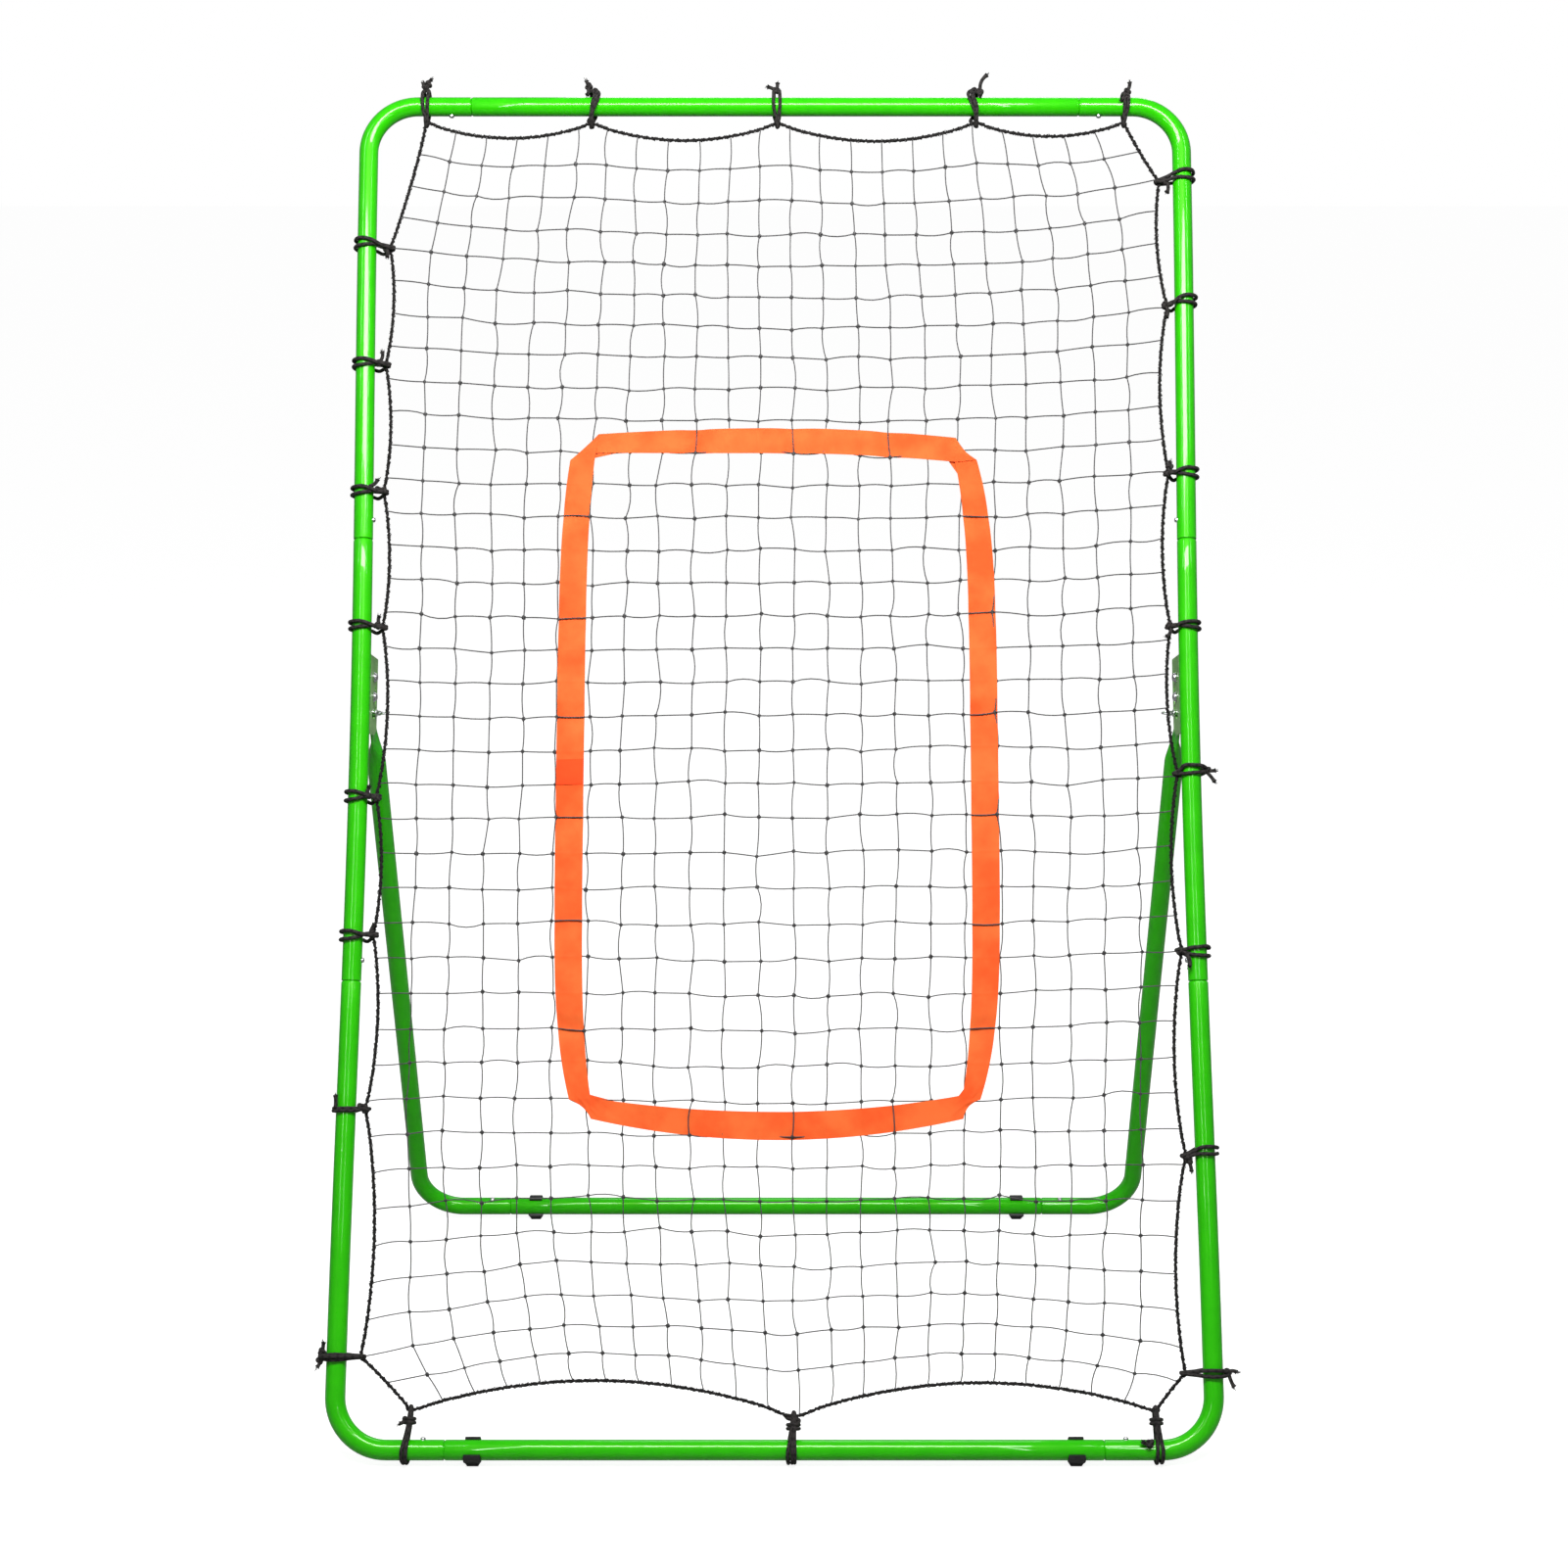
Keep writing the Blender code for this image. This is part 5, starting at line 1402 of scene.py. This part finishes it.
# One row for each tie, top left to top right, down the right, along the bottom and up the left.
# Millimetres: the strands' pattern and half their spacing, how far along the tube they lie from the
# border's tie, how far past the tube's middle they reach out and lean, then the knots as (inward,
# along, front) and the tails as (inward, along, front) of their root and (inward, along, front) of
# their reach.
TIE_ROWS = (
    (LOOP, 3.4, -1, 21, 0, ((-25, -2, 2), (-29, 1, 3)), ((-28, 1, 3, -7, 5, 2), (-25, -3, 3, -6, -2, 1))),
    (EYE, 3.0, 2, 21, 5, ((-27, -4, 2),), ((-28, -4, 2, -6, -3, 2), (-23, -5, 3, 9, -1, 2))),
    (LOOP, 4.2, -1, 21, 0, ((-21, -2, 2),), ((-22, -4, 3, -3, -9, 2), (-23, -1, 1, -9, 1, 0))),
    (EYE, 3.0, -1, 22, -6, ((-19, 5, 4),), ((-20, 6, 4, -21, 9, 2), (-15, 4, 9, 5, 2, 2))),
    (LOOP, 2.6, 2, 18, 1, ((-9, 2, 13), (-17, 4, 7)), ((-20, 5, 5, -11, 3, 1), (-7, -1, 15, 4, -4, 1))),
    (LOOP, 5.2, 7, 15, 0, ((23, -1, 5),), ((20, -4, 6, 1, -13, 2),)),
    (EYE, 4.8, 6, 15, 0, ((24, 0, 5),), ((23, -3, 5, 1, -14, 2),)),
    (EYE, 5.0, 0, 15, 0, ((22, 0, 5), (21, 7, 5)), ((21, 6, 5, -1, 8, 2),)),
    (EYE, 3.8, 1, 15, 0, ((23, 0, 5),), ((22, -3, 5, 6, -11, 2),)),
    (PINCHED, 5.2, 4, 19, 0, ((-19, 4, 2),), ((-20, 3, 2, -10, 0, 2), (-20, 0, 2, -8, -11, 2))),
    (LOOP, 5.6, -1, 15, 0, ((23, 0, 5),), ((14, -6, 11, -2, -14, 3),)),
    (LOOP, 4.4, 6, 15, 0, ((23, -1, 5), (20, -6, 5)), ((20, -8, 5, -2, -11, 2),)),
    (PINCHED, 3.8, 0, 18, 0, ((-17, 1, 2),), ((-19, 2, 2, -9, -1, 2), (-19, -3, 2, -5, -13, 3))),
    (LOOP, 3.4, 3, 15, 0, ((9, -9, 13),), ((8, -9, 14, 3, -9, 2), (10, -7, 14, -5, -4, 2))),
    (LOOP, 4.2, -3, 15, 0, ((38, -3, 3), (34, 3, 3)), ((36, -5, 4, 5, -5, 2),)),
    (LOOP, 2.4, -6, 15, 0, ((35, -5, 3),), ((34, -7, 4, -3, -6, 2),)),
    (PINCHED, 3.0, 0, 18, 0, ((-17, 6, 3), (-19, -4, 3)), ((-16, 8, 3, 1, 9, 2), (-19, -6, 3, -3, -6, 2))),
    (LOOP, 1.6, -1, 15, 0, ((19, 2, 6), (24, -1, 5)), ((-11, 2, 12, 0, 14, 2),)),
    (EYE, 4.8, -1, 15, 0, ((23, 0, 5),), ((22, 3, 5, 5, 10, 2),)),
    (EYE, 5.4, 1, 15, 0, ((14, 1, 11), (24, -2, 5)), ((13, 3, 12, 3, 9, 3),)),
    (EYE, 4.2, 2, 15, 0, ((20, 1, 6),), ((22, 4, 6, 1, 9, 3),)),
    (EYE, 4.4, 0, 15, 0, ((19, 1, 7), (25, 0, 5)), ((10, 5, 12, 9, 8, 2),)),
    (EYE, 4.4, 1, 15, 0, ((19, 0, 7),), ((20, 4, 6, 2, 11, 2),)),
    (EYE, 5.0, 5, 15, 0, ((25, -1, 5),), ((26, -4, 5, 1, -10, 2),)),
)
THIRD_STRAND = (1, 3, 14, 16)       # ties with one more strand down their middle
COLLARED = (13, 14, 15)             # ties with two turns of cord round their strands
COLLAR_PLACE = 0.010                # how far a collar is from the border cord
COLLAR_STEP = 0.0044
COLLAR_TILT = 0.0010
DRAWN = 0.95                        # how much thinner a cord is where it is drawn tight
TURN_START = math.radians(50)       # where a strand first touches its tube
LEANING = {3: 0.5, 4: 1.0}          # the stations that lean, and how much
HANGING = 9                         # and the one that hangs down
MIDDLE_SPACING = 0.0003             # a third strand's place
MIDDLE_ASIDE = 0.0006
MIDDLE_LIFT = 1.3                   # how far it lies over the others, over the cord's radius
SLANT = math.sqrt(0.5)
BOW = 0.0042                        # how far a lower strand hangs down behind the border cord
UNEVEN = 0.00025                    # how far a strand strays
KNOT_SCALES = (0.00112, 0.00128)    # a third of an overhand knot's reach
TAIL_SHARES = (-0.12, 0.1, 0.35, 0.6, 0.8, 0.93, 1.0)
TAIL_BENDS = (-0.16, 0.16)
FLARES = (0.35, 0.6)                # how much wider a tail's end is
FLARE_START = 0.55
FLARE_LENGTH = 0.40
TAIL_THREADS = 9
THREAD_SPREAD = 0.35
THREAD_SCATTER = 0.0008
THREAD_LENGTHS = (0.0012, 0.0030)
THREAD_RADIUS = 0.00032


def strand_points(pattern, spacing, sign, reach, shift, peak, lean):
    """One strand as (inward, along, front), from the front of the border cord out round the tube
    and back behind it."""
    outer = NEAR * SLANT + (peak - NEAR) * 0.5
    cos, sin = NEAR * math.cos(TURN_START), NEAR * math.sin(TURN_START)
    half_way = (reach + cos) / 2
    over = CORD_RADIUS * (1 + sign) if pattern is EYE else 0
    side = NEAR * SLANT
    stations = (                    # inward, to the front, and the share of the shift
        (reach, FAR + over * 0.4, 0.0), (half_way, (FAR + sin) / 2 + over * 0.8, 0.3),
        (cos, sin + over * 0.8, 0.8), (0, NEAR, 1.0), (-outer, side, 1.0), (-peak, 0, 1.0),
        (-outer, -side, 1.0), (0, -NEAR, 1.0), (cos, -sin, 1.0),
        (half_way, -(FAR + sin) / 2, 0.4), (reach, -FAR, 0.0), (reach + FAR, 0, 0.0),
    )
    out = []
    for number, ((inward, front, shifted), along) in enumerate(zip(stations, pattern)):
        place = sign * spacing * along + shift * shifted + lean * LEANING.get(number, 0)
        if number == HANGING and sign < 0 and pattern is EYE:
            place -= BOW
        out.append((inward, place, front))
    return out


class Tie:
    """A tie in its own space: inward from its tube to the net, along the tube and to the front."""

    def __init__(self, place, inward):
        self.place = np.array([*place, 0])
        inward = np.array([*inward, 0])
        along = np.array([0.0, 1.0, 0.0]) if abs(inward[0]) > 0.5 else np.array([1.0, 0.0, 0.0])
        self.axes = np.array([inward, along, [0, 0, 1]])
        self.build = Build()

    def many(self, points):
        """Places in the frame's space."""
        return self.place + np.asarray(points, float) @ self.axes

    def cord(self, points, radius, closed=True, per_span=4, sides=10):
        """A length of cord through points, as a loop unless it isn't closed."""
        path = smooth_path(self.many(points), per_span, closed)
        self.build.tube(path, radius, sides, closed)

    def knot(self, centre, size):
        """A small overhand knot pulled tight, as a trefoil with a turn of its own."""
        turn = around(24)
        x = np.sin(turn) + 2 * np.sin(2 * turn)
        y = np.cos(turn) - 2 * np.cos(2 * turn)
        curve = np.column_stack([x, y, -1.3 * np.sin(3 * turn)])
        lean = Matrix.Rotation(RNG.uniform(-0.5, 0.5), 3, "X")
        lean = lean @ Matrix.Rotation(RNG.uniform(0, 2.1), 3, "Z")
        curve = curve @ np.array(lean) * size + np.asarray(centre)
        self.cord(curve, CORD_RADIUS * 0.90, per_span=3)

    def tail(self, root, way):
        """A cut end that spreads where the braid has come loose, with a few threads out of it."""
        root, way = np.asarray(root), np.asarray(way)
        side = np.cross(way, [0, 0, 1.0])
        bend = RNG.uniform(*TAIL_BENDS)
        shares = np.array(TAIL_SHARES)[:, None]
        line = root + way * shares + side * bend * shares * (1 - shares) * 4
        path = smooth_path(self.many(line), 3)
        share = np.linspace(0, 1, len(path))
        flare = np.clip((share - FLARE_START) / FLARE_LENGTH, 0, 1) ** 1.6
        radii = CORD_RADIUS * (1 + RNG.uniform(*FLARES) * flare)
        radii[0] *= 0.7
        radii[-1] *= 0.90
        self.build.tube(path, radii, 12)
        for _ in range(TAIL_THREADS):
            out = way / np.linalg.norm(way) + RNG.normal(0, THREAD_SPREAD, 3)
            start = root + way * 0.96 + RNG.normal(0, THREAD_SCATTER, 3)
            length = RNG.uniform(*THREAD_LENGTHS)
            thread_line = [start, start + out * length * 0.5, start + out * length]
            self.cord(thread_line, THREAD_RADIUS, closed=False, per_span=1, sides=4)


def make_tie(number, group, place, inward, reach):
    """An elastic cord doubled round the border cord and the tube, and knotted."""
    pattern, spacing, shift, peak, lean, knots, tails = TIE_ROWS[number]
    tie = Tie(place, inward)
    peak = max(peak * MM, NEAR)
    points = []
    for sign in (1, -1):
        points += strand_points(pattern, spacing * MM, sign, reach, shift * MM, peak, lean * MM)
    tie.cord(np.array(points) + RNG.normal(0, UNEVEN, (len(points), 3)), CORD_RADIUS)
    if number in THIRD_STRAND:
        raise_by = 0 if group == "bottom" else CORD_RADIUS
        middle = strand_points(LOOP, MIDDLE_SPACING, 1, reach, shift * MM, peak + raise_by, lean * MM)
        raised = np.array(middle) + np.array([0, MIDDLE_ASIDE, 0])
        raised[:5, 2] += raise_by * MIDDLE_LIFT
        raised[6:11, 2] -= raise_by * MIDDLE_LIFT
        tie.cord(raised, CORD_RADIUS * DRAWN)
    if number in COLLARED:
        turn = around(12)
        width = spacing * MM * 0.6 + CORD_RADIUS * 1.9
        depth = FAR + CORD_RADIUS * 1.6
        for step in (0, 1):
            level = reach - COLLAR_PLACE - step * COLLAR_STEP + COLLAR_TILT * np.sin(turn)
            across = shift * MM * 0.2 + width * np.cos(turn)
            tie.cord(np.column_stack([level, across, depth * np.sin(turn)]), CORD_RADIUS * DRAWN)
    for knot in knots:
        tie.knot(np.array(knot) * MM, RNG.uniform(*KNOT_SCALES))
    for *root, inward_reach, along_reach, front_reach in tails:
        tie.tail(np.array(root) * MM, np.array([inward_reach, along_reach, front_reach]) * MM)
    obj = tie.build.make(f"tie_{group}_{number:02d}", FRONT)
    finish_piece(obj, "front_frame", BRAID, "net_cord")


for NUMBER, TIE in enumerate(tie_places()):
    make_tie(NUMBER, *TIE)


# Target tape -------------------------------------------------------------------------------------

TARGET_CENTRE = (0.003, 0.812)

# The folds begin this far from the target's middle: up and down on the side bands, and to either
# side on the level bands. Each edge's places are its bottom, middle and top, or left, middle, right.
SIDE_FOLD = 0.400
LEVEL_FOLD = 0.225
SIDE_OUTER = {-1: (-0.2516, -0.2730, -0.2607), 1: (0.2459, 0.2730, 0.2508)}
SIDE_INNER = {-1: (-0.2253, -0.2390, -0.2301), 1: (0.2235, 0.2390, 0.2231)}
LEVEL_OUTER = {-1: (-0.4231, -0.4484, -0.4231), 1: (0.4343, 0.4425, 0.4286)}
LEVEL_INNER = {-1: (-0.3980, -0.4144, -0.3944), 1: (0.4101, 0.4098, 0.3974)}
TAPE_WIDTH = 0.034
TAPE_THICKNESS = 0.0005
TAPE_ACROSS = 14
STEP_ALONG = 0.0016
CORNERS = {                         # how far a folded corner is gathered in, and its front band
    (-1, 1): (0.0008, "side"), (1, 1): (0.0030, "level"),
    (1, -1): (0.0052, "level"), (-1, -1): (0.0040, "side"),
}
FOLD_REACH = 0.045                  # how far from a corner the layers' spacing dies out
GATHER_REACH = 0.014                # and the gathering
FRONT_LAYER = 0.0016                # how far the two layers stand off the net at a fold
BACK_LAYER = 0.0007
CLEARANCE = 0.0006                  # between the tape and the strings it crosses
DUCK_REACH = 0.015                  # how far from a string in front the tape ducks behind it
RIDGE_REACH = 0.0018                # and how far a string behind it shows through
RIDGE = 0.0003
CREASE = 0.00016                    # faint creases, and two rates along the tape
CREASE_RATES = (97, 231)
CUP = 0.0002                        # how far its edges curl, and the rate along it
CUP_RATE = 19
AT_ONCE = 4000                      # points weighed against the knots in one array
NET_REACH = 0.022                   # knots within about this far set the tape's depth


def bowed(edge, place, limit, power):
    """An edge of the target: its middle bowed outward, bending in to its two ends."""
    low_end, middle, high_end = edge
    share = np.clip(np.asarray(place) / limit, -1, 1)
    return middle + (np.where(share > 0, high_end, low_end) - middle) * np.abs(share) ** power


def side_edge(edges, side, y):
    """An edge of the target's left or right band, at this height above its middle."""
    return bowed(edges[side], y, SIDE_FOLD, 5)


def level_edge(edges, level, x):
    """An edge of the top or bottom band, this far from the target's middle."""
    return bowed(edges[level], x, LEVEL_FOLD, 2)


def fold_ends(side, level):
    """Both ends of the diagonal fold at a corner: on the side band's outer edge and on the top
    or bottom band's outer edge."""
    low = level * SIDE_FOLD
    near = side * LEVEL_FOLD
    return (side_edge(SIDE_OUTER, side, low), low), (near, level_edge(LEVEL_OUTER, level, near))


def to_folds(places, edge, limit, first, last):
    """A band's inner edge at these places, run out beyond its corners to the ends of both folds."""
    level = edge(places)
    for (place, end), way in ((first, -1), (last, 1)):
        share = np.clip((way * places - limit) / (way * place - limit), 0, 1)
        level = level + share * (end - edge(way * limit))
    return level


def band_edges(kind, sign):
    """Outer and inner edges of a band from one fold to the next, about the target's middle."""
    if kind == "side":
        folds = [[end[::-1] for end in fold_ends(sign, level)] for level in (-1, 1)]
        edge, outer_edges, inner_edges, limit = side_edge, SIDE_OUTER, SIDE_INNER, SIDE_FOLD
    else:
        folds = [fold_ends(side, sign)[::-1] for side in (-1, 1)]
        edge, outer_edges, inner_edges, limit = level_edge, LEVEL_OUTER, LEVEL_INNER, LEVEL_FOLD
    (one, one_end), (two, two_end) = folds
    count = int((two[0] - one[0]) / STEP_ALONG)
    outer = np.linspace(one[0], two[0], count)
    inner = np.linspace(one_end[0], two_end[0], count)
    inner_level = to_folds(inner, lambda place: edge(inner_edges, sign, place), limit, one_end, two_end)
    turn = -1 if kind == "side" else 1
    return (
        np.column_stack([outer, edge(outer_edges, sign, outer)])[:, ::turn],
        np.column_stack([inner, inner_level])[:, ::turn],
    )


def net_depth(points):
    """How far in front of the frame's plane the net is at these places."""
    knots = GRID.reshape(-1, 3)
    flat_points = points.reshape(-1, 2)
    depth = np.empty(len(flat_points))
    for start in range(0, len(flat_points), AT_ONCE):
        part = flat_points[start:start + AT_ONCE]
        gap = ((part[:, None] - knots[None, :, :2]) ** 2).sum(-1)
        weight = np.exp(-gap / NET_REACH**2)
        depth[start:start + AT_ONCE] = (weight * knots[:, 2]).sum(1) / weight.sum(1)
    return depth.reshape(points.shape[:-1])


def string_gap(points, kind, every, first):
    """Distance along a band to the nearest of the strings that cross it, taking every so many."""
    if kind == "side":
        lines, across, along = GRID, 0, 1
    else:
        lines, across, along = GRID.transpose(1, 0, 2), 1, 0
    gaps = np.full(points.shape[:2], 1.0)
    for line in lines[first::every]:
        level = np.interp(points[..., across], line[:, across], line[:, along])
        gaps = np.minimum(gaps, np.abs(points[..., along] - level))
    return gaps


def make_band(name, kind, sign):
    """A band of tape that lies on the net, ducks behind every third string that crosses it and is
    gathered where it is folded round a corner."""
    outer, inner = band_edges(kind, sign)
    across = np.linspace(0, 1, TAPE_ACROSS)
    share = across[:, None]
    points = outer[:, None] * (1 - share) + inner[:, None] * share
    length = np.arange(len(outer)) * STEP_ALONG
    layer = np.zeros(points.shape[:2])
    free = np.ones(points.shape[:2])
    for end, way in ((0, -1), (-1, 1)):
        side, level = (sign, way) if kind == "side" else (way, sign)
        gather, in_front = CORNERS[side, level]
        away = np.abs(length - length[end])[:, None]
        fade = np.exp(-((away / GATHER_REACH) ** 2))
        pull = gather * 4 * across * (1 - across) * fade
        points -= pull[..., None] * np.array([side, level]) * SLANT
        near = np.exp(-((away / FOLD_REACH) ** 2))
        layer += near * (FRONT_LAYER if in_front == kind else BACK_LAYER)
        layer += near * fade * gather * 0.10 * np.sin(across * 9 + away * 260)
        free *= 1 - near
    world = points + np.array(TARGET_CENTRE)
    duck = free * np.exp(-((string_gap(world, kind, 3, 2 if kind == "side" else 3) / DUCK_REACH) ** 2))
    ridge = np.exp(-((string_gap(world, kind, 1, 0) / RIDGE_REACH) ** 2)) * (1 - duck)
    rest = STRING_RADIUS + TAPE_THICKNESS / 2 + CLEARANCE
    run = length[:, None]
    crease = CREASE * np.sin(run * CREASE_RATES[0] + 1.7 * sign)
    crease = crease * np.sin(run * CREASE_RATES[1] + 6 * across)
    cup = CUP * np.cos(across * 2 * np.pi) * np.sin(run * CUP_RATE)
    z = net_depth(world) + rest * (1 - 2 * duck) + RIDGE * ridge + layer + crease + cup
    return tape_solid(name, world, z, length)


def tape_solid(name, world, z, length):
    """Tape whose middle lies at these places and this far in front of the frame's plane."""
    front, back = (np.dstack([world, z + way * TAPE_THICKNESS / 2]) for way in (1, -1))
    build = Build()
    build.rings(np.concatenate([front, back[:, ::-1]], 1), length, turns=2 * TAPE_WIDTH)
    obj = build.make(name)
    fix_normals(obj)
    return obj


def make_patch(name, corners, lift, count=24):
    """A four-cornered piece of tape that follows the net."""
    share = np.linspace(0, 1, count)[:, None]
    corners = np.array(corners) + np.array(TARGET_CENTRE)
    one = corners[0] * (1 - share) + corners[1] * share
    two = corners[3] * (1 - share) + corners[2] * share
    across = np.linspace(0, 1, TAPE_ACROSS)[:, None]
    world = one[:, None] * (1 - across) + two[:, None] * across
    z = net_depth(world) + lift
    length = np.linalg.norm(corners[1] - corners[0]) * share[:, 0]
    return tape_solid(name, world, z, length)


FLAPS = (                           # side and level of a corner, how far the layer behind shows
    (-1, 1, 0.027, 0.0070), (-1, -1, 0.030, 0.0050),        # along the inner edge and across it
    (1, 1, 0.007, 0.0200), (1, -1, 0.004, 0.0120),
)
FLAP_TUCK = 0.003                   # how far that layer reaches under the band in front
FLAP_LIFT = 0.0004
LAP = (-0.014, 0.018)               # the heights between which the tape's two ends lap
LAP_INSET = 0.0003
LAP_SKEW = 0.0004                   # how far from square its ends are cut
LAP_LIFT = 0.0028


def make_flaps():
    """Where the folds leave an edge of the layer behind showing, inside the corners."""
    flaps = []
    for side, level, along, deep in FLAPS:
        x = side_edge(SIDE_INNER, side, level * SIDE_FOLD)
        far = x - side * along
        y, far_y = (level_edge(LEVEL_INNER, level, place) for place in (x, far))
        deep_x = side_edge(SIDE_INNER, side, y - level * deep)
        corners = [(x + side * FLAP_TUCK, y + level * FLAP_TUCK), (far, far_y + level * FLAP_TUCK)]
        corners += [(far, far_y), (deep_x + side * FLAP_TUCK, y - level * deep)]
        flaps.append(make_patch(f"flap_{len(flaps)}", corners, FLAP_LIFT))
    return flaps


def make_lap():
    """The tape's end, cut a little narrower, over its beginning."""
    low, high = LAP
    low_x, high_x = (side_edge(SIDE_OUTER, -1, y) for y in LAP)
    width = TAPE_WIDTH - LAP_INSET
    corners = [(low_x + LAP_INSET, low), (high_x + LAP_INSET, high - 2 * LAP_SKEW)]
    corners += [(high_x + width, high + LAP_SKEW), (low_x + width, low + LAP_SKEW)]
    return make_patch("target_tape_lap", corners, LAP_LIFT, 30)


def make_target():
    """The whole strip of tape, and its lap."""
    bands = [(kind, sign) for kind in ("side", "level") for sign in (-1, 1)]
    pieces = [make_band(f"band_{kind}_{sign}", kind, sign) for kind, sign in bands]
    strip = merged("target_tape_strip", [as_mesh(piece) for piece in pieces + make_flaps()])
    strip.data.transform(FRONT.matrix())
    finish_piece(strip, "front_frame", TAPE, "target_tape", "target_tape")
    lap = make_lap()
    lap.data.transform(FRONT.matrix())
    # the lap takes the deeper orange, painted shade for less light coming through the doubled tape
    finish_piece(lap, "front_frame", LAP_TAPE_PAINTED_SHADE, "target_tape")


make_target()


# Stage -------------------------------------------------------------------------------------------

CAMERA_DISTANCE = 2.800
CAMERA_HEIGHT = 1.574
CAMERA_SIDE = 0.0113
CAMERA_PITCH = math.radians(15.14)
LENS_OVER_WIDTH = 1.678326
SENSOR_WIDTH = 36
ROOM_LIGHT = 0.21                   # the room's grey, over the white that the camera sees
FLOOR_SIZE = 60
FLOOR_GREY = 0.35                   # what the floor reflects
FLOOR_SEEN_GREY = 0.40              # and what the camera sees of it, lifted to white by a glow
FLOOR_LIFT = 0.90

# name: place, aim, size, power
LIGHTS = {
    "overhead": ((0, -1.25, 2.65), (0, 0, 0.9), (1.8, 0.5), 73),
    "behind": ((0.3, 2.6, 2.6), (0, 0.2, 0.8), (1.6, 0.6), 14),
}

# name: place, size, power of tall soft boxes that only show as reflections in the paint
HIGHLIGHT_AIM = (0, 0, 1.0)
HIGHLIGHTS = {
    "left_front_box": ((-1.6, -3.0, 3.0), (0.13, 2.8), 34),
    "right_front_box": ((0.95, -3.2, 3.0), (0.11, 2.8), 24),
    "left_side_box": ((-2.8, -1.3, 3.9), (0.14, 1.8), 24),
    "right_side_box": ((2.8, -1.5, 3.9), (0.14, 1.8), 24),
}


def make_camera():
    data = bpy.data.cameras.new("camera")
    data.sensor_width = SENSOR_WIDTH
    data.lens = SENSOR_WIDTH * LENS_OVER_WIDTH
    camera = linked("camera", data)
    camera.location = BOTTOM + Vector((CAMERA_SIDE, -CAMERA_DISTANCE, CAMERA_HEIGHT))
    camera.rotation_euler = (math.pi / 2 - CAMERA_PITCH, 0, 0)
    bpy.context.scene.camera = camera


def make_light(name, place, aim, size, power):
    """A rectangular soft box."""
    data = bpy.data.lights.new(name, "AREA")
    data.shape = "RECTANGLE"
    data.size, data.size_y = size
    data.energy = power
    light = linked(name, data)
    light.location = place
    light.rotation_euler = (Vector(aim) - Vector(place)).to_track_quat("-Z", "Y").to_euler()
    return light


def make_world():
    """White to the camera, and a dimmer grey room to everything that it lights."""
    world = bpy.data.worlds.new("studio")
    world.use_nodes = True
    tree = world.node_tree
    room = tree.nodes["Background"]
    room.inputs["Color"].default_value = (1, 1, 1, 1)
    room.inputs["Strength"].default_value = ROOM_LIGHT
    seen = tree.nodes.new("ShaderNodeBackground")
    seen.inputs["Color"].default_value = (1, 1, 1, 1)
    mix_by_camera(tree, room, seen, tree.nodes["World Output"])
    bpy.context.scene.world = world


def mix_by_camera(tree, other, seen, output):
    """One shader for the camera's own rays, and another for all the rest."""
    mix = tree.nodes.new("ShaderNodeMixShader")
    path = tree.nodes.new("ShaderNodeLightPath")
    tree.links.new(path.outputs["Is Camera Ray"], mix.inputs["Fac"])
    tree.links.new(other.outputs[0], mix.inputs[1])
    tree.links.new(seen.outputs[0], mix.inputs[2])
    tree.links.new(mix.outputs[0], output.inputs["Surface"])


def make_floor():
    """A pale floor that keeps faint contact shadows and throws little light back up."""
    bpy.ops.mesh.primitive_plane_add(size=FLOOR_SIZE, location=(0, 0, 0))
    floor = bpy.context.object
    floor.name = "floor"
    made = Nodes("pale_floor", (FLOOR_GREY,) * 3, 1.0, Specular_IOR_Level=0.0)
    pale = made.add("ShaderNodeBsdfPrincipled", Roughness=1.0)
    pale.inputs["Base Color"].default_value = (FLOOR_SEEN_GREY,) * 3 + (1,)
    pale.inputs["Specular IOR Level"].default_value = 0.0
    pale.inputs["Emission Color"].default_value = (1, 1, 1, 1)
    pale.inputs["Emission Strength"].default_value = FLOOR_LIFT
    mix_by_camera(made.tree, made.shader, pale, made.tree.nodes["Material Output"])
    floor.data.materials.append(made.material)


def make_stage():
    """The room, the floor and the lights."""
    make_world()
    make_floor()
    for name, (place, aim, size, power) in LIGHTS.items():
        make_light(name, place, aim, size, power)
    for name, (place, size, power) in HIGHLIGHTS.items():
        make_light(name, place, HIGHLIGHT_AIM, size, power).visible_diffuse = False


make_camera()
make_stage()
bpy.context.scene.view_settings.view_transform = "Standard"
